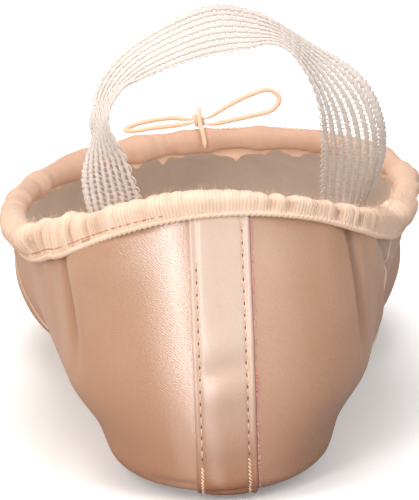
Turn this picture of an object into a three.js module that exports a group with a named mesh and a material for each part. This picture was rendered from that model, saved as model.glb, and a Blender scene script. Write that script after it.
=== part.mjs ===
// Pointe shoe: a satin upper over a stiff toe box, on a narrow leather outsole.
// A gathered drawstring binding edges the collar, and an elastic loop is sewn inside the heel.
// Millimetres, +Z up. The heel points to -Y and the platform to +Y.
import * as THREE from "three";

// Driving dimensions of the shoe.
const LENGTH = 236;
const BALL_WIDTH = 82;
const HEEL_HEIGHT = 62;
const HALF_BALL = BALL_WIDTH / 2;

// Thicknesses and fits.
const QUARTER_WALL = 1.4;
const BOX_WALL = 2.8;
const OUTSOLE_THICKNESS = 2.2;
const OUTSOLE_BEVEL = 0.6;
const INSOLE_THICKNESS = 1.6;
const INSOLE_BEVEL = 0.4;
const GAP = 0.3;

// Share of the way from back seam to platform at which the heel turn ends and the toe turn starts.
const HEEL_END = 0.32;
const TOE_START = 0.66;
const WAIST_MID = (HEEL_END + TOE_START) / 2;
const BOX_FULL = 0.9;
const STEPS_AROUND = 36;

// Rise of the sole line along the length: flat under heel and ball, arched, and sprung at the toe.
const SOLE_LINE = [
  { along: 0.0, rise: 0.0 },
  { along: 0.25, rise: 0.0 },
  { along: 0.45, rise: 3.0 },
  { along: 0.61, rise: 0.0 },
  { along: 0.8, rise: 0.0 },
  { along: 0.9, rise: 1.5 },
  { along: 1.0, rise: 3.0 },
].map(({ along, rise }) => [along * LENGTH, rise]);

// A ring is one level line of the shoe. back, heelAt, ballAt and front are places along the length.
// heel, waist and ball are half widths. The Rise columns are heights above the sole line.
// heelPower and toePower square off the round ends, follow is the share of the arch it takes, and
// flare is how fast it widens behind the waist.
const RING_COLUMNS = [
  "back", "backRise", "heelAt", "heel", "heelRise", "waist", "waistRise", "ballAt",
  "ball", "ballRise", "front", "frontRise", "heelPower", "toePower", "follow", "flare",
];
const PLACE_COLUMNS = new Set(["back", "heelAt", "ballAt", "front"]);
const WIDTH_COLUMNS = new Set(["heel", "waist", "ball"]);
const RISE_COLUMNS = new Set(["backRise", "heelRise", "waistRise", "ballRise", "frontRise"]);

// Rings are drawn as shares of length, half ball width and heel height.
function ring(...row) {
  const sized = RING_COLUMNS.map((name, i) => {
    if (PLACE_COLUMNS.has(name)) return [name, row[i] * LENGTH];
    if (WIDTH_COLUMNS.has(name)) return [name, row[i] * HALF_BALL];
    if (RISE_COLUMNS.has(name)) return [name, row[i] * HEEL_HEIGHT];
    return [name, row[i]];
  });
  return Object.fromEntries(sized);
}

// Same outline let out by a distance, at one height above the sole line.
function letOut(outline, distance, rise) {
  const level = { ...outline };
  for (const name of WIDTH_COLUMNS) level[name] += distance;
  for (const name of RISE_COLUMNS) level[name] = rise;
  level.back -= distance;
  level.front += distance;
  return level;
}

const OUTSOLE_OUTLINE = ring(
  0.057, 0, 0.17, 0.34, 0, 0.3, 0, 0.68, 0.62, 0, 0.882, 0, 2.0, 2.0, 1.0, 0);
const INSOLE_OUTLINE = ring(
  0.05, 0, 0.17, 0.4, 0, 0.36, 0, 0.68, 0.65, 0, 0.872, 0, 2.0, 2.0, 1.0, 0);

// The upper from its turned-in edge under the foot to the collar.
const TURNED_IN = 5;
const BEAD_WIDTH = 1.5;
const BEAD_RISE = 1.3;
const POCKET_RISE = OUTSOLE_THICKNESS + GAP;
const RINGS = [
  letOut(OUTSOLE_OUTLINE, -TURNED_IN, POCKET_RISE),
  letOut(OUTSOLE_OUTLINE, GAP, POCKET_RISE),
  letOut(OUTSOLE_OUTLINE, GAP + BEAD_WIDTH, BEAD_RISE),
  ring(
    0.02, 0.044, 0.165, 0.52, 0.056, 0.54, 0.066, 0.68,
    0.8, 0.058, 0.965, 0.065, 2.0, 2.0, 1.0, 0.0),
  ring(
    0.008, 0.161, 0.16, 0.6, 0.177, 0.73, 0.177, 0.68,
    0.93, 0.15, 1.02, 0.16, 2.1, 2.0, 0.8, 0.04),
  ring(
    0.0, 0.33, 0.15, 0.71, 0.32, 0.84, 0.31, 0.67,
    1.0, 0.27, 1.04, 0.29, 2.2, 2.0, 0.5, 0.08),
  ring(
    0.0, 0.54, 0.14, 0.745, 0.49, 0.885, 0.45, 0.64,
    1.0, 0.42, 1.02, 0.42, 2.3, 2.0, 0.2, 0.12),
  ring(
    0.002, 0.72, 0.132, 0.755, 0.63, 0.905, 0.56, 0.57,
    0.995, 0.545, 0.93, 0.54, 2.3, 2.0, 0.0, 0.15),
  ring(
    0.005, 0.85, 0.128, 0.755, 0.72, 0.915, 0.625, 0.49,
    0.995, 0.635, 0.77, 0.66, 2.3, 2.1, 0.0, 0.16),
  ring(
    0.007, 0.96, 0.127, 0.755, 0.79, 0.925, 0.675, 0.405,
    1.0, 0.69, 0.63, 0.754, 2.3, 2.3, 0.0, 0.17),
];
const BEAD_RING = 2;
const COLLAR_RING = RINGS.length - 1;

// Monotone cubic curve through stops of [place, value], level at the end and at most starts.
function through(stops, at, start = 0) {
  const last = stops.length - 1;
  if (at <= stops[0][0]) return stops[0][1];
  if (at >= stops[last][0]) return stops[last][1];
  const slope = (i) => (stops[i + 1][1] - stops[i][1]) / (stops[i + 1][0] - stops[i][0]);
  const tangent = (i) => {
    if (i === 0) return start;
    if (i === last || slope(i - 1) * slope(i) <= 0) return 0;
    return (2 * slope(i - 1) * slope(i)) / (slope(i - 1) + slope(i));
  };
  let i = 0;
  while (at > stops[i + 1][0]) i += 1;
  const span = stops[i + 1][0] - stops[i][0];
  const t = (at - stops[i][0]) / span;
  const s = 1 - t;
  const ends = stops[i][1] * s * s * (1 + 2 * t) + stops[i + 1][1] * t * t * (1 + 2 * s);
  return ends + span * t * s * (tangent(i) * s - tangent(i + 1) * t);
}

const soleRise = (y) => through(SOLE_LINE, y);

// Quarter turn of a superellipse: how far out and how far along at a share of the turn.
function roundedCorner(share, power) {
  const angle = (share * Math.PI) / 2;
  return { out: Math.sin(angle) ** (2 / power), along: Math.cos(angle) ** (2 / power) };
}

// The flat platform stops the toe softly at the full length.
const PLATFORM_SOFTNESS = 2.4;
function stopAtPlatform(y) {
  const spare = (LENGTH - y) / PLATFORM_SOFTNESS;
  const kept = Math.max(spare, 0) + Math.log1p(Math.exp(-Math.abs(spare)));
  return LENGTH - PLATFORM_SOFTNESS * kept;
}

// Point of one ring, with around running from 0 at the back seam to 1 at the platform.
function ringPoint(level, around) {
  const point = new THREE.Vector3();
  if (around <= HEEL_END) {
    const corner = roundedCorner(around / HEEL_END, level.heelPower);
    const turn = level.heelAt - level.back;
    point.x = level.heel * corner.out - level.flare * turn * (corner.out + corner.along - 1);
    point.y = level.heelAt - turn * corner.along;
  } else if (around <= TOE_START) {
    const widths = [[HEEL_END, level.heel], [WAIST_MID, level.waist], [TOE_START, level.ball]];
    const pace = (level.ballAt - level.heelAt) / (TOE_START - HEEL_END);
    point.x = through(widths, around, level.flare * pace);
    point.y = level.heelAt + pace * (around - HEEL_END);
  } else {
    const corner = roundedCorner((1 - around) / (1 - TOE_START), level.toePower);
    point.x = level.ball * corner.out;
    point.y = level.ballAt + (level.front - level.ballAt) * corner.along;
  }
  const heights = [
    [0, level.backRise], [HEEL_END, level.heelRise], [WAIST_MID, level.waistRise],
    [TOE_START, level.ballRise], [1, level.frontRise],
  ];
  point.z = through(heights, around) + level.follow * soleRise(point.y);
  return point;
}

// Smooth rib of the upper at one place around, from the bead beside the outsole to the collar.
const ribs = new Map();
function ribAt(around) {
  const key = around.toFixed(6);
  if (!ribs.has(key)) {
    const points = RINGS.slice(BEAD_RING).map((level) => ringPoint(level, around));
    ribs.set(key, new THREE.CatmullRomCurve3(points, false, "centripetal"));
  }
  return ribs.get(key);
}

// The empty collar has slumped a little: its right side lies forward of its left and a little higher.
const COLLAR_SKEW = 0.1;
const COLLAR_TILT = 0.03;
function slump(level, place) {
  const high = THREE.MathUtils.smoothstep(level, BEAD_RING + 1, COLLAR_RING);
  const toeward = THREE.MathUtils.smoothstep(level, COLLAR_RING - 3, COLLAR_RING);
  const behindBox = 1 - THREE.MathUtils.smoothstep(place, WAIST_MID, 1) * (1 - toeward);
  return high * behindBox;
}

// Outside of the upper. around runs from -1 to 1 with 0 at the back seam, level counts the rings.
function upperOutside(around, level) {
  const turned = around > 1 ? around - 2 : around < -1 ? around + 2 : around;
  const place = Math.abs(turned);
  let point;
  if (level < BEAD_RING) {
    const lower = Math.floor(level);
    point = ringPoint(RINGS[lower], place).lerp(ringPoint(RINGS[lower + 1], place), level - lower);
  } else {
    const share = Math.min(1, (level - BEAD_RING) / (COLLAR_RING - BEAD_RING));
    point = ribAt(place).getPoint(share);
    point.y = stopAtPlatform(point.y);
  }
  if (turned < 0) point.x = -point.x;
  point.y += point.x * COLLAR_SKEW * slump(level, place);
  const beside = THREE.MathUtils.smoothstep(place, HEEL_END, WAIST_MID);
  const high = THREE.MathUtils.smoothstep(level, COLLAR_RING - 3, COLLAR_RING);
  point.z += point.x * COLLAR_TILT * beside * high;
  return point;
}

// How the upper's surface runs at a point: onward around it, up the rib, and out of the wall.
const STEP_AROUND = 0.004;
const STEP_UP = 0.05;
function upperFrame(around, level) {
  const low = THREE.MathUtils.clamp(level - STEP_UP, BEAD_RING, COLLAR_RING - 2 * STEP_UP);
  const rib = upperOutside(around, low + 2 * STEP_UP)
    .sub(upperOutside(around, low)).divideScalar(2 * STEP_UP);
  const onward = upperOutside(around + STEP_AROUND, level)
    .sub(upperOutside(around - STEP_AROUND, level)).divideScalar(2 * STEP_AROUND);
  const out = onward.clone().cross(rib).normalize();
  return { onward, rib, out };
}

// Point at a distance out from the upper's surface.
function upperOffset(around, level, distance) {
  const { out } = upperFrame(around, level);
  return upperOutside(around, level).addScaledVector(out, distance);
}

// The wall is thicker in the box than in the quarters and along the throat.
function wallAt(around, level) {
  const toeward = THREE.MathUtils.smoothstep(Math.abs(around), TOE_START, BOX_FULL);
  const throatward = THREE.MathUtils.smoothstep(level, COLLAR_RING - 2, COLLAR_RING - 1);
  return THREE.MathUtils.lerp(QUARTER_WALL, BOX_WALL, toeward * (1 - throatward));
}

const evenly = (from, to, steps) =>
  Array.from({ length: steps + 1 }, (_, i) => THREE.MathUtils.lerp(from, to, i / steps));
const placesAround = evenly(-1, 1, 2 * STEPS_AROUND).slice(0, -1);

function signedVolume(positions, index) {
  const corner = (i) => new THREE.Vector3().fromArray(positions, 3 * index[i]);
  let sum = 0;
  for (let i = 0; i < index.length; i += 3) {
    sum += corner(i).dot(corner(i + 1).cross(corner(i + 2)));
  }
  return sum / 6;
}

// Closed solid through cross-sections of equal point counts, capped unless it closes on itself.
function loft(sections, closes = false) {
  const count = sections[0].length;
  const points = sections.flat();
  const positions = points.flatMap((p) => p.toArray());
  const index = [];
  const span = (a, b) => points[a].distanceTo(points[b]);
  const quad = (a, b, c, d) => {
    if (span(a, c) <= span(b, d)) index.push(a, b, c, a, c, d);
    else index.push(a, b, d, b, c, d);
  };
  const spans = closes ? sections.length : sections.length - 1;
  for (let i = 0; i < spans; i += 1) {
    const here = i * count;
    const next = ((i + 1) % sections.length) * count;
    for (let j = 0; j < count; j += 1) {
      const k = (j + 1) % count;
      quad(here + j, next + j, next + k, here + k);
    }
  }
  if (!closes) {
    const end = (sections.length - 1) * count;
    for (let j = 0; j < count / 2 - 1; j += 1) {
      const k = count - 1 - j;
      quad(j, j + 1, k - 1, k);
      quad(end + j, end + k, end + k - 1, end + j + 1);
    }
  }
  const geometry = new THREE.BufferGeometry();
  geometry.setAttribute("position", new THREE.Float32BufferAttribute(positions, 3));
  geometry.setIndex(signedVolume(positions, index) < 0 ? index.reverse() : index);
  geometry.computeVertexNormals();
  return geometry;
}

// Upper: one hollow wall, open at the collar and underneath where the outsole closes it. Its levels
// lie closer together over the edges of the platform.
const PLATFORM_LOW = 3;
const PLATFORM_TOP = 7;
const UPPER_LEVELS = [
  0, 1, BEAD_RING, BEAD_RING + 0.5, ...evenly(PLATFORM_LOW, PLATFORM_TOP, 14),
  ...evenly(PLATFORM_TOP, COLLAR_RING - 0.5, 3).slice(1), COLLAR_RING - 0.2, COLLAR_RING,
];
function upperGeometry() {
  const flangeTop = (y) => POCKET_RISE + QUARTER_WALL + soleRise(y);
  const inside = (around, level) => {
    if (level < BEAD_RING) {
      const edge = upperOutside(around, level);
      return edge.setZ(flangeTop(edge.y));
    }
    const point = upperOffset(around, level, -wallAt(around, level));
    return point.setZ(Math.max(point.z, flangeTop(point.y)));
  };
  const sections = placesAround.map((around) => [
    ...UPPER_LEVELS.map((level) => upperOutside(around, level)),
    ...UPPER_LEVELS.map((level) => inside(around, level)).reverse(),
  ]);
  return loft(sections, true);
}

// Flat piece that follows the sole line, bevelled along its lower edge.
const PLATE_STEPS = 40;
const PLATE_TIP = 0.02;
function plateGeometry(outline, bottom, thickness, bevel) {
  const sections = evenly(PLATE_TIP, 1 - PLATE_TIP, PLATE_STEPS).map((around) => {
    const { x, y } = ringPoint(outline, around);
    const low = bottom + soleRise(y);
    const foot = Math.max(x - bevel, x / 2);
    const corners = [
      [-foot, low], [0, low], [foot, low], [x, low + bevel],
      [x, low + thickness], [0, low + thickness], [-x, low + thickness], [-x, low + bevel],
    ];
    return corners.map(([across, height]) => new THREE.Vector3(across, y, height));
  });
  return loft(sections);
}

// Binding: a folded casing whose slot takes the collar's edge. Corners are out from the middle of
// the wall and up from its edge, starting at the lower edge of the outer leg.
const BINDING_LEG = 3.2;
const BINDING_TOP = 2.1;
const BINDING_HALF = 2.6;
const BINDING_HEM = 2.15;
const BINDING_FIT = 0.75;
const BINDING_SLOT = QUARTER_WALL / 2 + BINDING_FIT;
const BINDING_SECTION = [
  [BINDING_SLOT, -BINDING_LEG],
  [BINDING_HEM, -BINDING_LEG],
  [BINDING_HEM, 0.45 * BINDING_TOP - BINDING_LEG],
  [BINDING_HALF, 0],
  [0.8 * BINDING_HALF, 0.6 * BINDING_TOP],
  [0, BINDING_TOP],
  [-0.8 * BINDING_HALF, 0.6 * BINDING_TOP],
  [-BINDING_HALF, 0],
  [-BINDING_HEM, -BINDING_LEG],
  [-BINDING_SLOT, -BINDING_LEG],
  [-BINDING_SLOT, BINDING_FIT],
  [BINDING_SLOT, BINDING_FIT],
];
// Place on the upper at a distance below the collar, square to the collar's edge.
const SLIDES = 4;
function belowCollar(around, distance) {
  const place = { around, level: COLLAR_RING };
  for (let i = 0; i < SLIDES; i += 1) {
    const { onward, rib, out } = upperFrame(place.around, place.level);
    const down = onward.clone().cross(out).normalize();
    const drop = distance / SLIDES / rib.dot(down);
    place.level += drop;
    place.around -= (drop * rib.dot(onward)) / onward.lengthSq();
  }
  return place;
}
function bindingGeometry() {
  const sections = placesAround.map((around) => {
    const { onward, out } = upperFrame(around, COLLAR_RING);
    const up = out.clone().cross(onward).normalize();
    return BINDING_SECTION.map(([across, above]) => {
      const place = belowCollar(around, Math.max(-above, 0));
      return upperOffset(place.around, place.level, across - QUARTER_WALL / 2)
        .addScaledVector(up, Math.max(above, 0));
    });
  });
  return loft(sections, true);
}

// Back strip: a tape over the back seam, from under the binding to under the heel.
const STRIP_WIDTH = 12.4;
const STRIP_THICKNESS = 0.7;
const STRIP_TOP = COLLAR_RING - 0.62;
const STRIP_STEPS = 18;
function placeAtHalfWidth(x, level) {
  let low = 0;
  let high = HEEL_END;
  for (let i = 0; i < 30; i += 1) {
    const middle = (low + high) / 2;
    if (upperOutside(middle, level).x < Math.abs(x)) low = middle;
    else high = middle;
  }
  return Math.sign(x) * low;
}
function stripGeometry() {
  const across = evenly(-STRIP_WIDTH / 2, STRIP_WIDTH / 2, 4);
  const sections = evenly(BEAD_RING, STRIP_TOP, STRIP_STEPS).map((level) => {
    const places = across.map((x) => placeAtHalfWidth(x, level));
    return [
      ...places.map((place) => upperOffset(place, level, GAP)),
      ...places.map((place) => upperOffset(place, level, GAP + STRIP_THICKNESS)).reverse(),
    ];
  });
  return loft(sections);
}

// Elastic loop: middle of the band at each fold. turn is the heading of its width seen from above,
// from the near edge to the far edge, and tilt is how much that width rises.
const STRAP_WIDTH = 14;
const STRAP_THICKNESS = 1.0;
const STRAP_STEPS = 44;
const STRAP_FOLDS = [
  { x: -19.4, y: 12.2, z: 43.0, turn: 138, tilt: 0 },
  { x: -19.4, y: 14.8, z: 52.0, turn: 138, tilt: 0 },
  { x: -20.2, y: 14.0, z: 58.5, turn: 142, tilt: 0 },
  { x: -21.1, y: 13.0, z: 64.2, turn: 132, tilt: -3 },
  { x: -21.8, y: 15.0, z: 72.6, turn: 101, tilt: -3 },
  { x: -20.5, y: 18.0, z: 76.7, turn: 101, tilt: -1 },
  { x: -17.5, y: 21.0, z: 80.7, turn: 106, tilt: 9 },
  { x: -12.3, y: 23.0, z: 84.3, turn: 105, tilt: 19 },
  { x: 0.7, y: 25.0, z: 88.8, turn: 90, tilt: 33 },
  { x: 8.1, y: 25.0, z: 88.5, turn: 84, tilt: 22 },
  { x: 12.8, y: 24.5, z: 87.4, turn: 83, tilt: 8 },
  { x: 16.6, y: 24.0, z: 85.1, turn: 77, tilt: 2 },
  { x: 21.2, y: 23.4, z: 80.6, turn: 60, tilt: 1 },
  { x: 25.4, y: 24.6, z: 73.8, turn: 41, tilt: -3 },
  { x: 27.2, y: 28.0, z: 67.1, turn: 35, tilt: -6 },
  { x: 27.5, y: 33.0, z: 61.2, turn: 38, tilt: -8 },
  { x: 27.2, y: 38.0, z: 56.4, turn: 45, tilt: -8 },
  { x: 26.8, y: 42.5, z: 52.0, turn: 52, tilt: -9 },
  { x: 26.3, y: 45.5, z: 47.6, turn: 57, tilt: -9 },
  { x: 26.2, y: 46.5, z: 38.0, turn: 58, tilt: -9 },
];
function strapGeometry() {
  const middles = STRAP_FOLDS.map(({ x, y, z }) => new THREE.Vector3(x, y, z));
  const path = new THREE.CatmullRomCurve3(middles, false, "centripetal");
  const last = STRAP_FOLDS.length - 1;
  const between = (name, share) =>
    through(STRAP_FOLDS.map((fold, i) => [i / last, fold[name]]), share);
  const sections = evenly(0, 1, STRAP_STEPS).map((share) => {
    const turn = THREE.MathUtils.degToRad(between("turn", share));
    const tilt = THREE.MathUtils.degToRad(between("tilt", share));
    const onward = path.getTangent(share);
    const across = new THREE.Vector3(
      Math.cos(tilt) * Math.cos(turn), Math.cos(tilt) * Math.sin(turn), Math.sin(tilt));
    across.addScaledVector(onward, -across.dot(onward)).normalize();
    const face = onward.clone().cross(across);
    const corners = [[-1, -1], [1, -1], [1, 1], [-1, 1]];
    return corners.map(([wide, thick]) => path.getPoint(share)
      .addScaledVector(across, (wide * STRAP_WIDTH) / 2)
      .addScaledVector(face, (thick * STRAP_THICKNESS) / 2));
  });
  return loft(sections);
}

// Drawstring bow at the throat, placed from the middle of the throat's binding.
const CORD = 1.0;
const CORD_SIDES = 8;
const THROAT = upperOutside(1, COLLAR_RING);
const KNOT_RISE = 3.6;
const KNOT_SIZE = { x: 3.2, y: 2.8, z: 2.6 };
const KNOT = THROAT.clone().add(new THREE.Vector3(-1.0, 0.6, KNOT_RISE));
const BOW_LOOP_RIGHT = [
  { x: 2.2, y: 0.3, z: 0.5 },
  { x: 6.0, y: 0.6, z: 2.6 },
  { x: 11.5, y: 1.2, z: 5.0 },
  { x: 15.5, y: 1.6, z: 5.7 },
  { x: 17.4, y: 1.6, z: 3.8 },
  { x: 16.0, y: 1.2, z: 1.6 },
  { x: 11.5, y: 0.6, z: 0.5 },
  { x: 6.5, y: 0.0, z: -0.3 },
  { x: 2.3, y: -0.3, z: -0.9 },
];
const BOW_LOOP_LEFT = [
  { x: -2.3, y: 0.9, z: 0.2 },
  { x: -5.5, y: 2.6, z: 0.3 },
  { x: -10.0, y: 3.4, z: -0.2 },
  { x: -14.0, y: 2.8, z: -1.0 },
  { x: -15.6, y: 0.8, z: -1.6 },
  { x: -14.0, y: -0.8, z: -1.6 },
  { x: -10.0, y: -0.9, z: -1.1 },
  { x: -5.5, y: -0.7, z: -0.8 },
  { x: -2.3, y: -0.6, z: -0.5 },
];
const BOW_END = [
  { x: 0.2, y: -0.3, z: 2.5 },
  { x: 0.1, y: -1.7, z: 1.6 },
  { x: 0.3, y: -2.6, z: -0.4 },
  { x: 0.9, y: -3.6, z: -2.6 },
  { x: 1.2, y: -4.0, z: -5.4 },
];
function cordGeometry(places, steps) {
  const points = places.map(({ x, y, z }) => KNOT.clone().add(new THREE.Vector3(x, y, z)));
  const corners = evenly(0, 2 * Math.PI, CORD_SIDES).slice(0, -1);
  const section = new THREE.Shape(corners.map((angle) =>
    new THREE.Vector2(Math.cos(angle), Math.sin(angle)).multiplyScalar(CORD / 2)));
  return new THREE.ExtrudeGeometry(section, {
    steps,
    bevelEnabled: false,
    extrudePath: new THREE.CatmullRomCurve3(points, false, "centripetal"),
  });
}
function knotGeometry() {
  return new THREE.SphereGeometry(0.5, 12, 8)
    .scale(KNOT_SIZE.x, KNOT_SIZE.y, KNOT_SIZE.z)
    .translate(KNOT.x, KNOT.y, KNOT.z);
}

const INSOLE_BOTTOM = POCKET_RISE + QUARTER_WALL + GAP;
const PIECES = [
  { name: "upper", colour: 0xdcae8e, geometry: upperGeometry() },
  {
    name: "outsole", colour: 0xb08a68,
    geometry: plateGeometry(OUTSOLE_OUTLINE, 0, OUTSOLE_THICKNESS, OUTSOLE_BEVEL),
  },
  {
    name: "insole", colour: 0xcfc2ae,
    geometry: plateGeometry(INSOLE_OUTLINE, INSOLE_BOTTOM, INSOLE_THICKNESS, INSOLE_BEVEL),
  },
  { name: "collar_binding", colour: 0xf0dcc4, geometry: bindingGeometry() },
  { name: "back_strip", colour: 0xe6c6ad, geometry: stripGeometry() },
  { name: "elastic_strap", colour: 0xe9e2dc, geometry: strapGeometry() },
  { name: "bow_knot", colour: 0xf2dfcd, geometry: knotGeometry(), cord: true },
  { name: "bow_loop_left", colour: 0xf2dfcd, geometry: cordGeometry(BOW_LOOP_LEFT, 18), cord: true },
  { name: "bow_loop_right", colour: 0xf2dfcd, geometry: cordGeometry(BOW_LOOP_RIGHT, 18), cord: true },
  { name: "bow_end", colour: 0xf2dfcd, geometry: cordGeometry(BOW_END, 6), cord: true },
];

// The origin lies under the middle of the shoe without its drawstring, on the floor.
const shoe = new THREE.Group();
for (const { name, colour, geometry, cord } of PIECES) {
  const finish = new THREE.MeshStandardMaterial({ color: colour, roughness: cord ? 0.7 : 0.5 });
  const mesh = new THREE.Mesh(geometry, finish);
  mesh.name = name;
  shoe.add(mesh);
}
const measured = new THREE.Box3();
for (const { geometry, cord } of PIECES) {
  geometry.computeBoundingBox();
  if (!cord) measured.union(geometry.boundingBox);
}
const middle = measured.getCenter(new THREE.Vector3());
for (const { geometry } of PIECES) {
  geometry.translate(-middle.x, -middle.y, -measured.min.z);
}

export default shoe;
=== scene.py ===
"""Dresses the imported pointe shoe: satin, gathered binding, openwork elastic and a cord bow."""
import logging
import math
from dataclasses import dataclass
from enum import Enum, IntEnum
from functools import cache
from typing import NamedTuple

import bpy
import numpy as np
from mathutils import Matrix, Vector


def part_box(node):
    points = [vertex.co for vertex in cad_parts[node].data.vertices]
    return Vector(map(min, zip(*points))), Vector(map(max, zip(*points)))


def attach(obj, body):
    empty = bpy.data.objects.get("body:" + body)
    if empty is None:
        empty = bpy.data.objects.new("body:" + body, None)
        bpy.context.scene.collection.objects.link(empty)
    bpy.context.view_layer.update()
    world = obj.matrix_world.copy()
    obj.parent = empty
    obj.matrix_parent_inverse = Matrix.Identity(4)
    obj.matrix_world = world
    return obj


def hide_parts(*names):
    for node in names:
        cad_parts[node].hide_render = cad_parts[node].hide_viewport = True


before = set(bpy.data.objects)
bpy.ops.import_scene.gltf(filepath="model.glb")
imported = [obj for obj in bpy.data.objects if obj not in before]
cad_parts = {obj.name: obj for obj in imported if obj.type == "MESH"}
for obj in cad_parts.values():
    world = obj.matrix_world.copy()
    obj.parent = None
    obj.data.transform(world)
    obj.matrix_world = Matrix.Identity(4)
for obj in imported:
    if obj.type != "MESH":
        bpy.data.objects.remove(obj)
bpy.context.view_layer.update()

LOG = logging.getLogger("pointe_shoe")
Array = np.ndarray
Colour = tuple[float, float, float]
Span = tuple[float, float]
Node = bpy.types.Node
Socket = bpy.types.NodeSocket
MM = 0.001
SEED = 41
NOISE_VALUES = 4096
CLOTH_UNIT = 100.0
# Point attribute that sets painted shade in folds.
FOLD_SHADE = "PaintedFoldShade"
CORNERS = ((0, 0), (1, 0), (1, 1), (0, 1))


class Draw(IntEnum):
    """Seeds of what is uneven in the shoe, each added to the common seed."""

    WAVE_ACROSS = 1
    WAVE_ALONG = 2
    LUMP_NEAR = 5
    LUMP_FAR = 6
    LUMP_BROAD = 7
    RIB_PLACE = 8
    LUMP_HEIGHT = 9
    RIB_HEIGHT = 10
    SLACK = 11
    HAIRS = 20
    RAW_COARSE = 30
    RAW_FINE = 32
    FRAY = 50


def srgb(red: int, green: int, blue: int) -> Colour:
    """Linear colour of an eight-bit display colour."""
    shares = np.array([red, green, blue]) / 255.0
    low, high = shares / 12.92, ((shares + 0.055) / 1.055) ** 2.4
    return tuple(float(v) for v in np.where(shares <= 0.04045, low, high))


def smoothstep(value: Array, low: float, high: float) -> Array:
    """Soft step from 0 at low to 1 at high."""
    t = np.clip((np.asarray(value, float) - low) / (high - low), 0.0, 1.0)
    return t * t * (3.0 - 2.0 * t)


def unit(vectors: Array) -> Array:
    """Vectors of length one."""
    return vectors / np.maximum(np.linalg.norm(vectors, axis=-1, keepdims=True), 1e-12)


def through(stops: list[tuple[float, float]], at: Array, start: float = 0.0) -> Array:
    """Monotone cubic curve through stops of place and value, level at its end.

    Args:
        stops: places and values in rising order of place.
        at: where the curve is read.
        start: slope at the first stop.

    Returns:
        The curve's values.
    """
    places, values = np.array(stops, float).T
    slopes = np.diff(values) / np.diff(places)
    tangents = np.zeros(len(stops))
    tangents[0] = start
    for i in range(1, len(stops) - 1):
        if slopes[i - 1] * slopes[i] > 0:
            tangents[i] = 2 * slopes[i - 1] * slopes[i] / (slopes[i - 1] + slopes[i])
    at = np.clip(np.asarray(at, float), places[0], places[-1])
    i = np.clip(np.searchsorted(places, at, side="left") - 1, 0, len(stops) - 2)
    span = places[i + 1] - places[i]
    t = (at - places[i]) / span
    s = 1.0 - t
    ends = values[i] * s * s * (1 + 2 * t) + values[i + 1] * t * t * (1 + 2 * s)
    return ends + span * t * s * (tangents[i] * s - tangents[i + 1] * t)


def spline(points: Array, share: Array) -> Array:
    """Centripetal curve through points, one curve per share or one for all.

    Args:
        points: control points, shaped (count, 3) or (count, number of shares, 3).
        share: how far along each curve, from 0 to 1.

    Returns:
        Points shaped (number of shares, 3).
    """
    share = np.asarray(share, float)
    if points.ndim == 2:
        points = np.repeat(points[:, None, :], len(share), axis=1)
    last = len(points) - 1
    longer = np.concatenate(
        [2 * points[:1] - points[1:2], points, 2 * points[-1:] - points[-2:-1]])
    place = share * last
    i = np.minimum(np.floor(place).astype(int), last - 1)
    t = (place - i)[:, None]
    column = np.arange(len(share))
    p0, p1, p2, p3 = (longer[i + k, column] for k in range(4))
    d0, d1, d2 = (
        np.linalg.norm(b - a, axis=1)[:, None] ** 0.5
        for a, b in ((p0, p1), (p1, p2), (p2, p3)))
    d1 = np.where(d1 < 1e-4, 1.0, d1)
    d0, d2 = np.where(d0 < 1e-4, d1, d0), np.where(d2 < 1e-4, d1, d2)
    m1 = ((p1 - p0) / d0 - (p2 - p0) / (d0 + d1) + (p2 - p1) / d1) * d1
    m2 = ((p2 - p1) / d1 - (p3 - p1) / (d1 + d2) + (p3 - p2) / d2) * d1
    c2, c3 = -3 * p1 + 3 * p2 - 2 * m1 - m2, 2 * p1 - 2 * p2 + m1 + m2
    return p1 + m1 * t + c2 * t ** 2 + c3 * t ** 3


def along(points: Array) -> Array:
    """Length along a line of points, from 0."""
    steps = np.linalg.norm(np.diff(points, axis=0), axis=1)
    return np.concatenate([[0.0], np.cumsum(steps)])


def soft_noise(at: Array, pitch: float, seed: Draw) -> Array:
    """Smooth seeded noise from -1 to 1 along a line.

    Args:
        at: distances along the line.
        pitch: distance between independent values.
        seed: which noise.

    Returns:
        One value per distance.
    """
    values = np.random.default_rng(SEED + seed).uniform(-1, 1, NOISE_VALUES)
    place = np.asarray(at, float) / pitch
    i = np.floor(place).astype(int)
    t = smoothstep(place - i, 0.0, 1.0)
    return values[i % NOISE_VALUES] * (1 - t) + values[(i + 1) % NOISE_VALUES] * t


def read_along(run: Array, values: Array, place: Array) -> Array:
    """Points or directions of a line, read at distances along it."""
    return np.stack([np.interp(place, run, values[:, k]) for k in range(3)], axis=-1)


def angles(sides: int) -> Array:
    """Angles of the points around a thread."""
    return np.arange(sides) * 2 * math.pi / sides


def tapered(steps: int, least: float = 0.0) -> Array:
    """Thickness of a thread that narrows at both ends, as a share at each of its steps."""
    share = np.linspace(0, 1, steps)
    return np.minimum(1.0, least + 8 * np.minimum(share, 1 - share))


class Ring(NamedTuple):
    """One level line of the last, in millimetres; powers, follow and flare are plain numbers."""

    back: float
    back_rise: float
    heel_at: float
    heel: float
    heel_rise: float
    waist: float
    waist_rise: float
    ball_at: float
    ball: float
    ball_rise: float
    front: float
    front_rise: float
    heel_power: float
    toe_power: float
    follow: float
    flare: float


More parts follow.
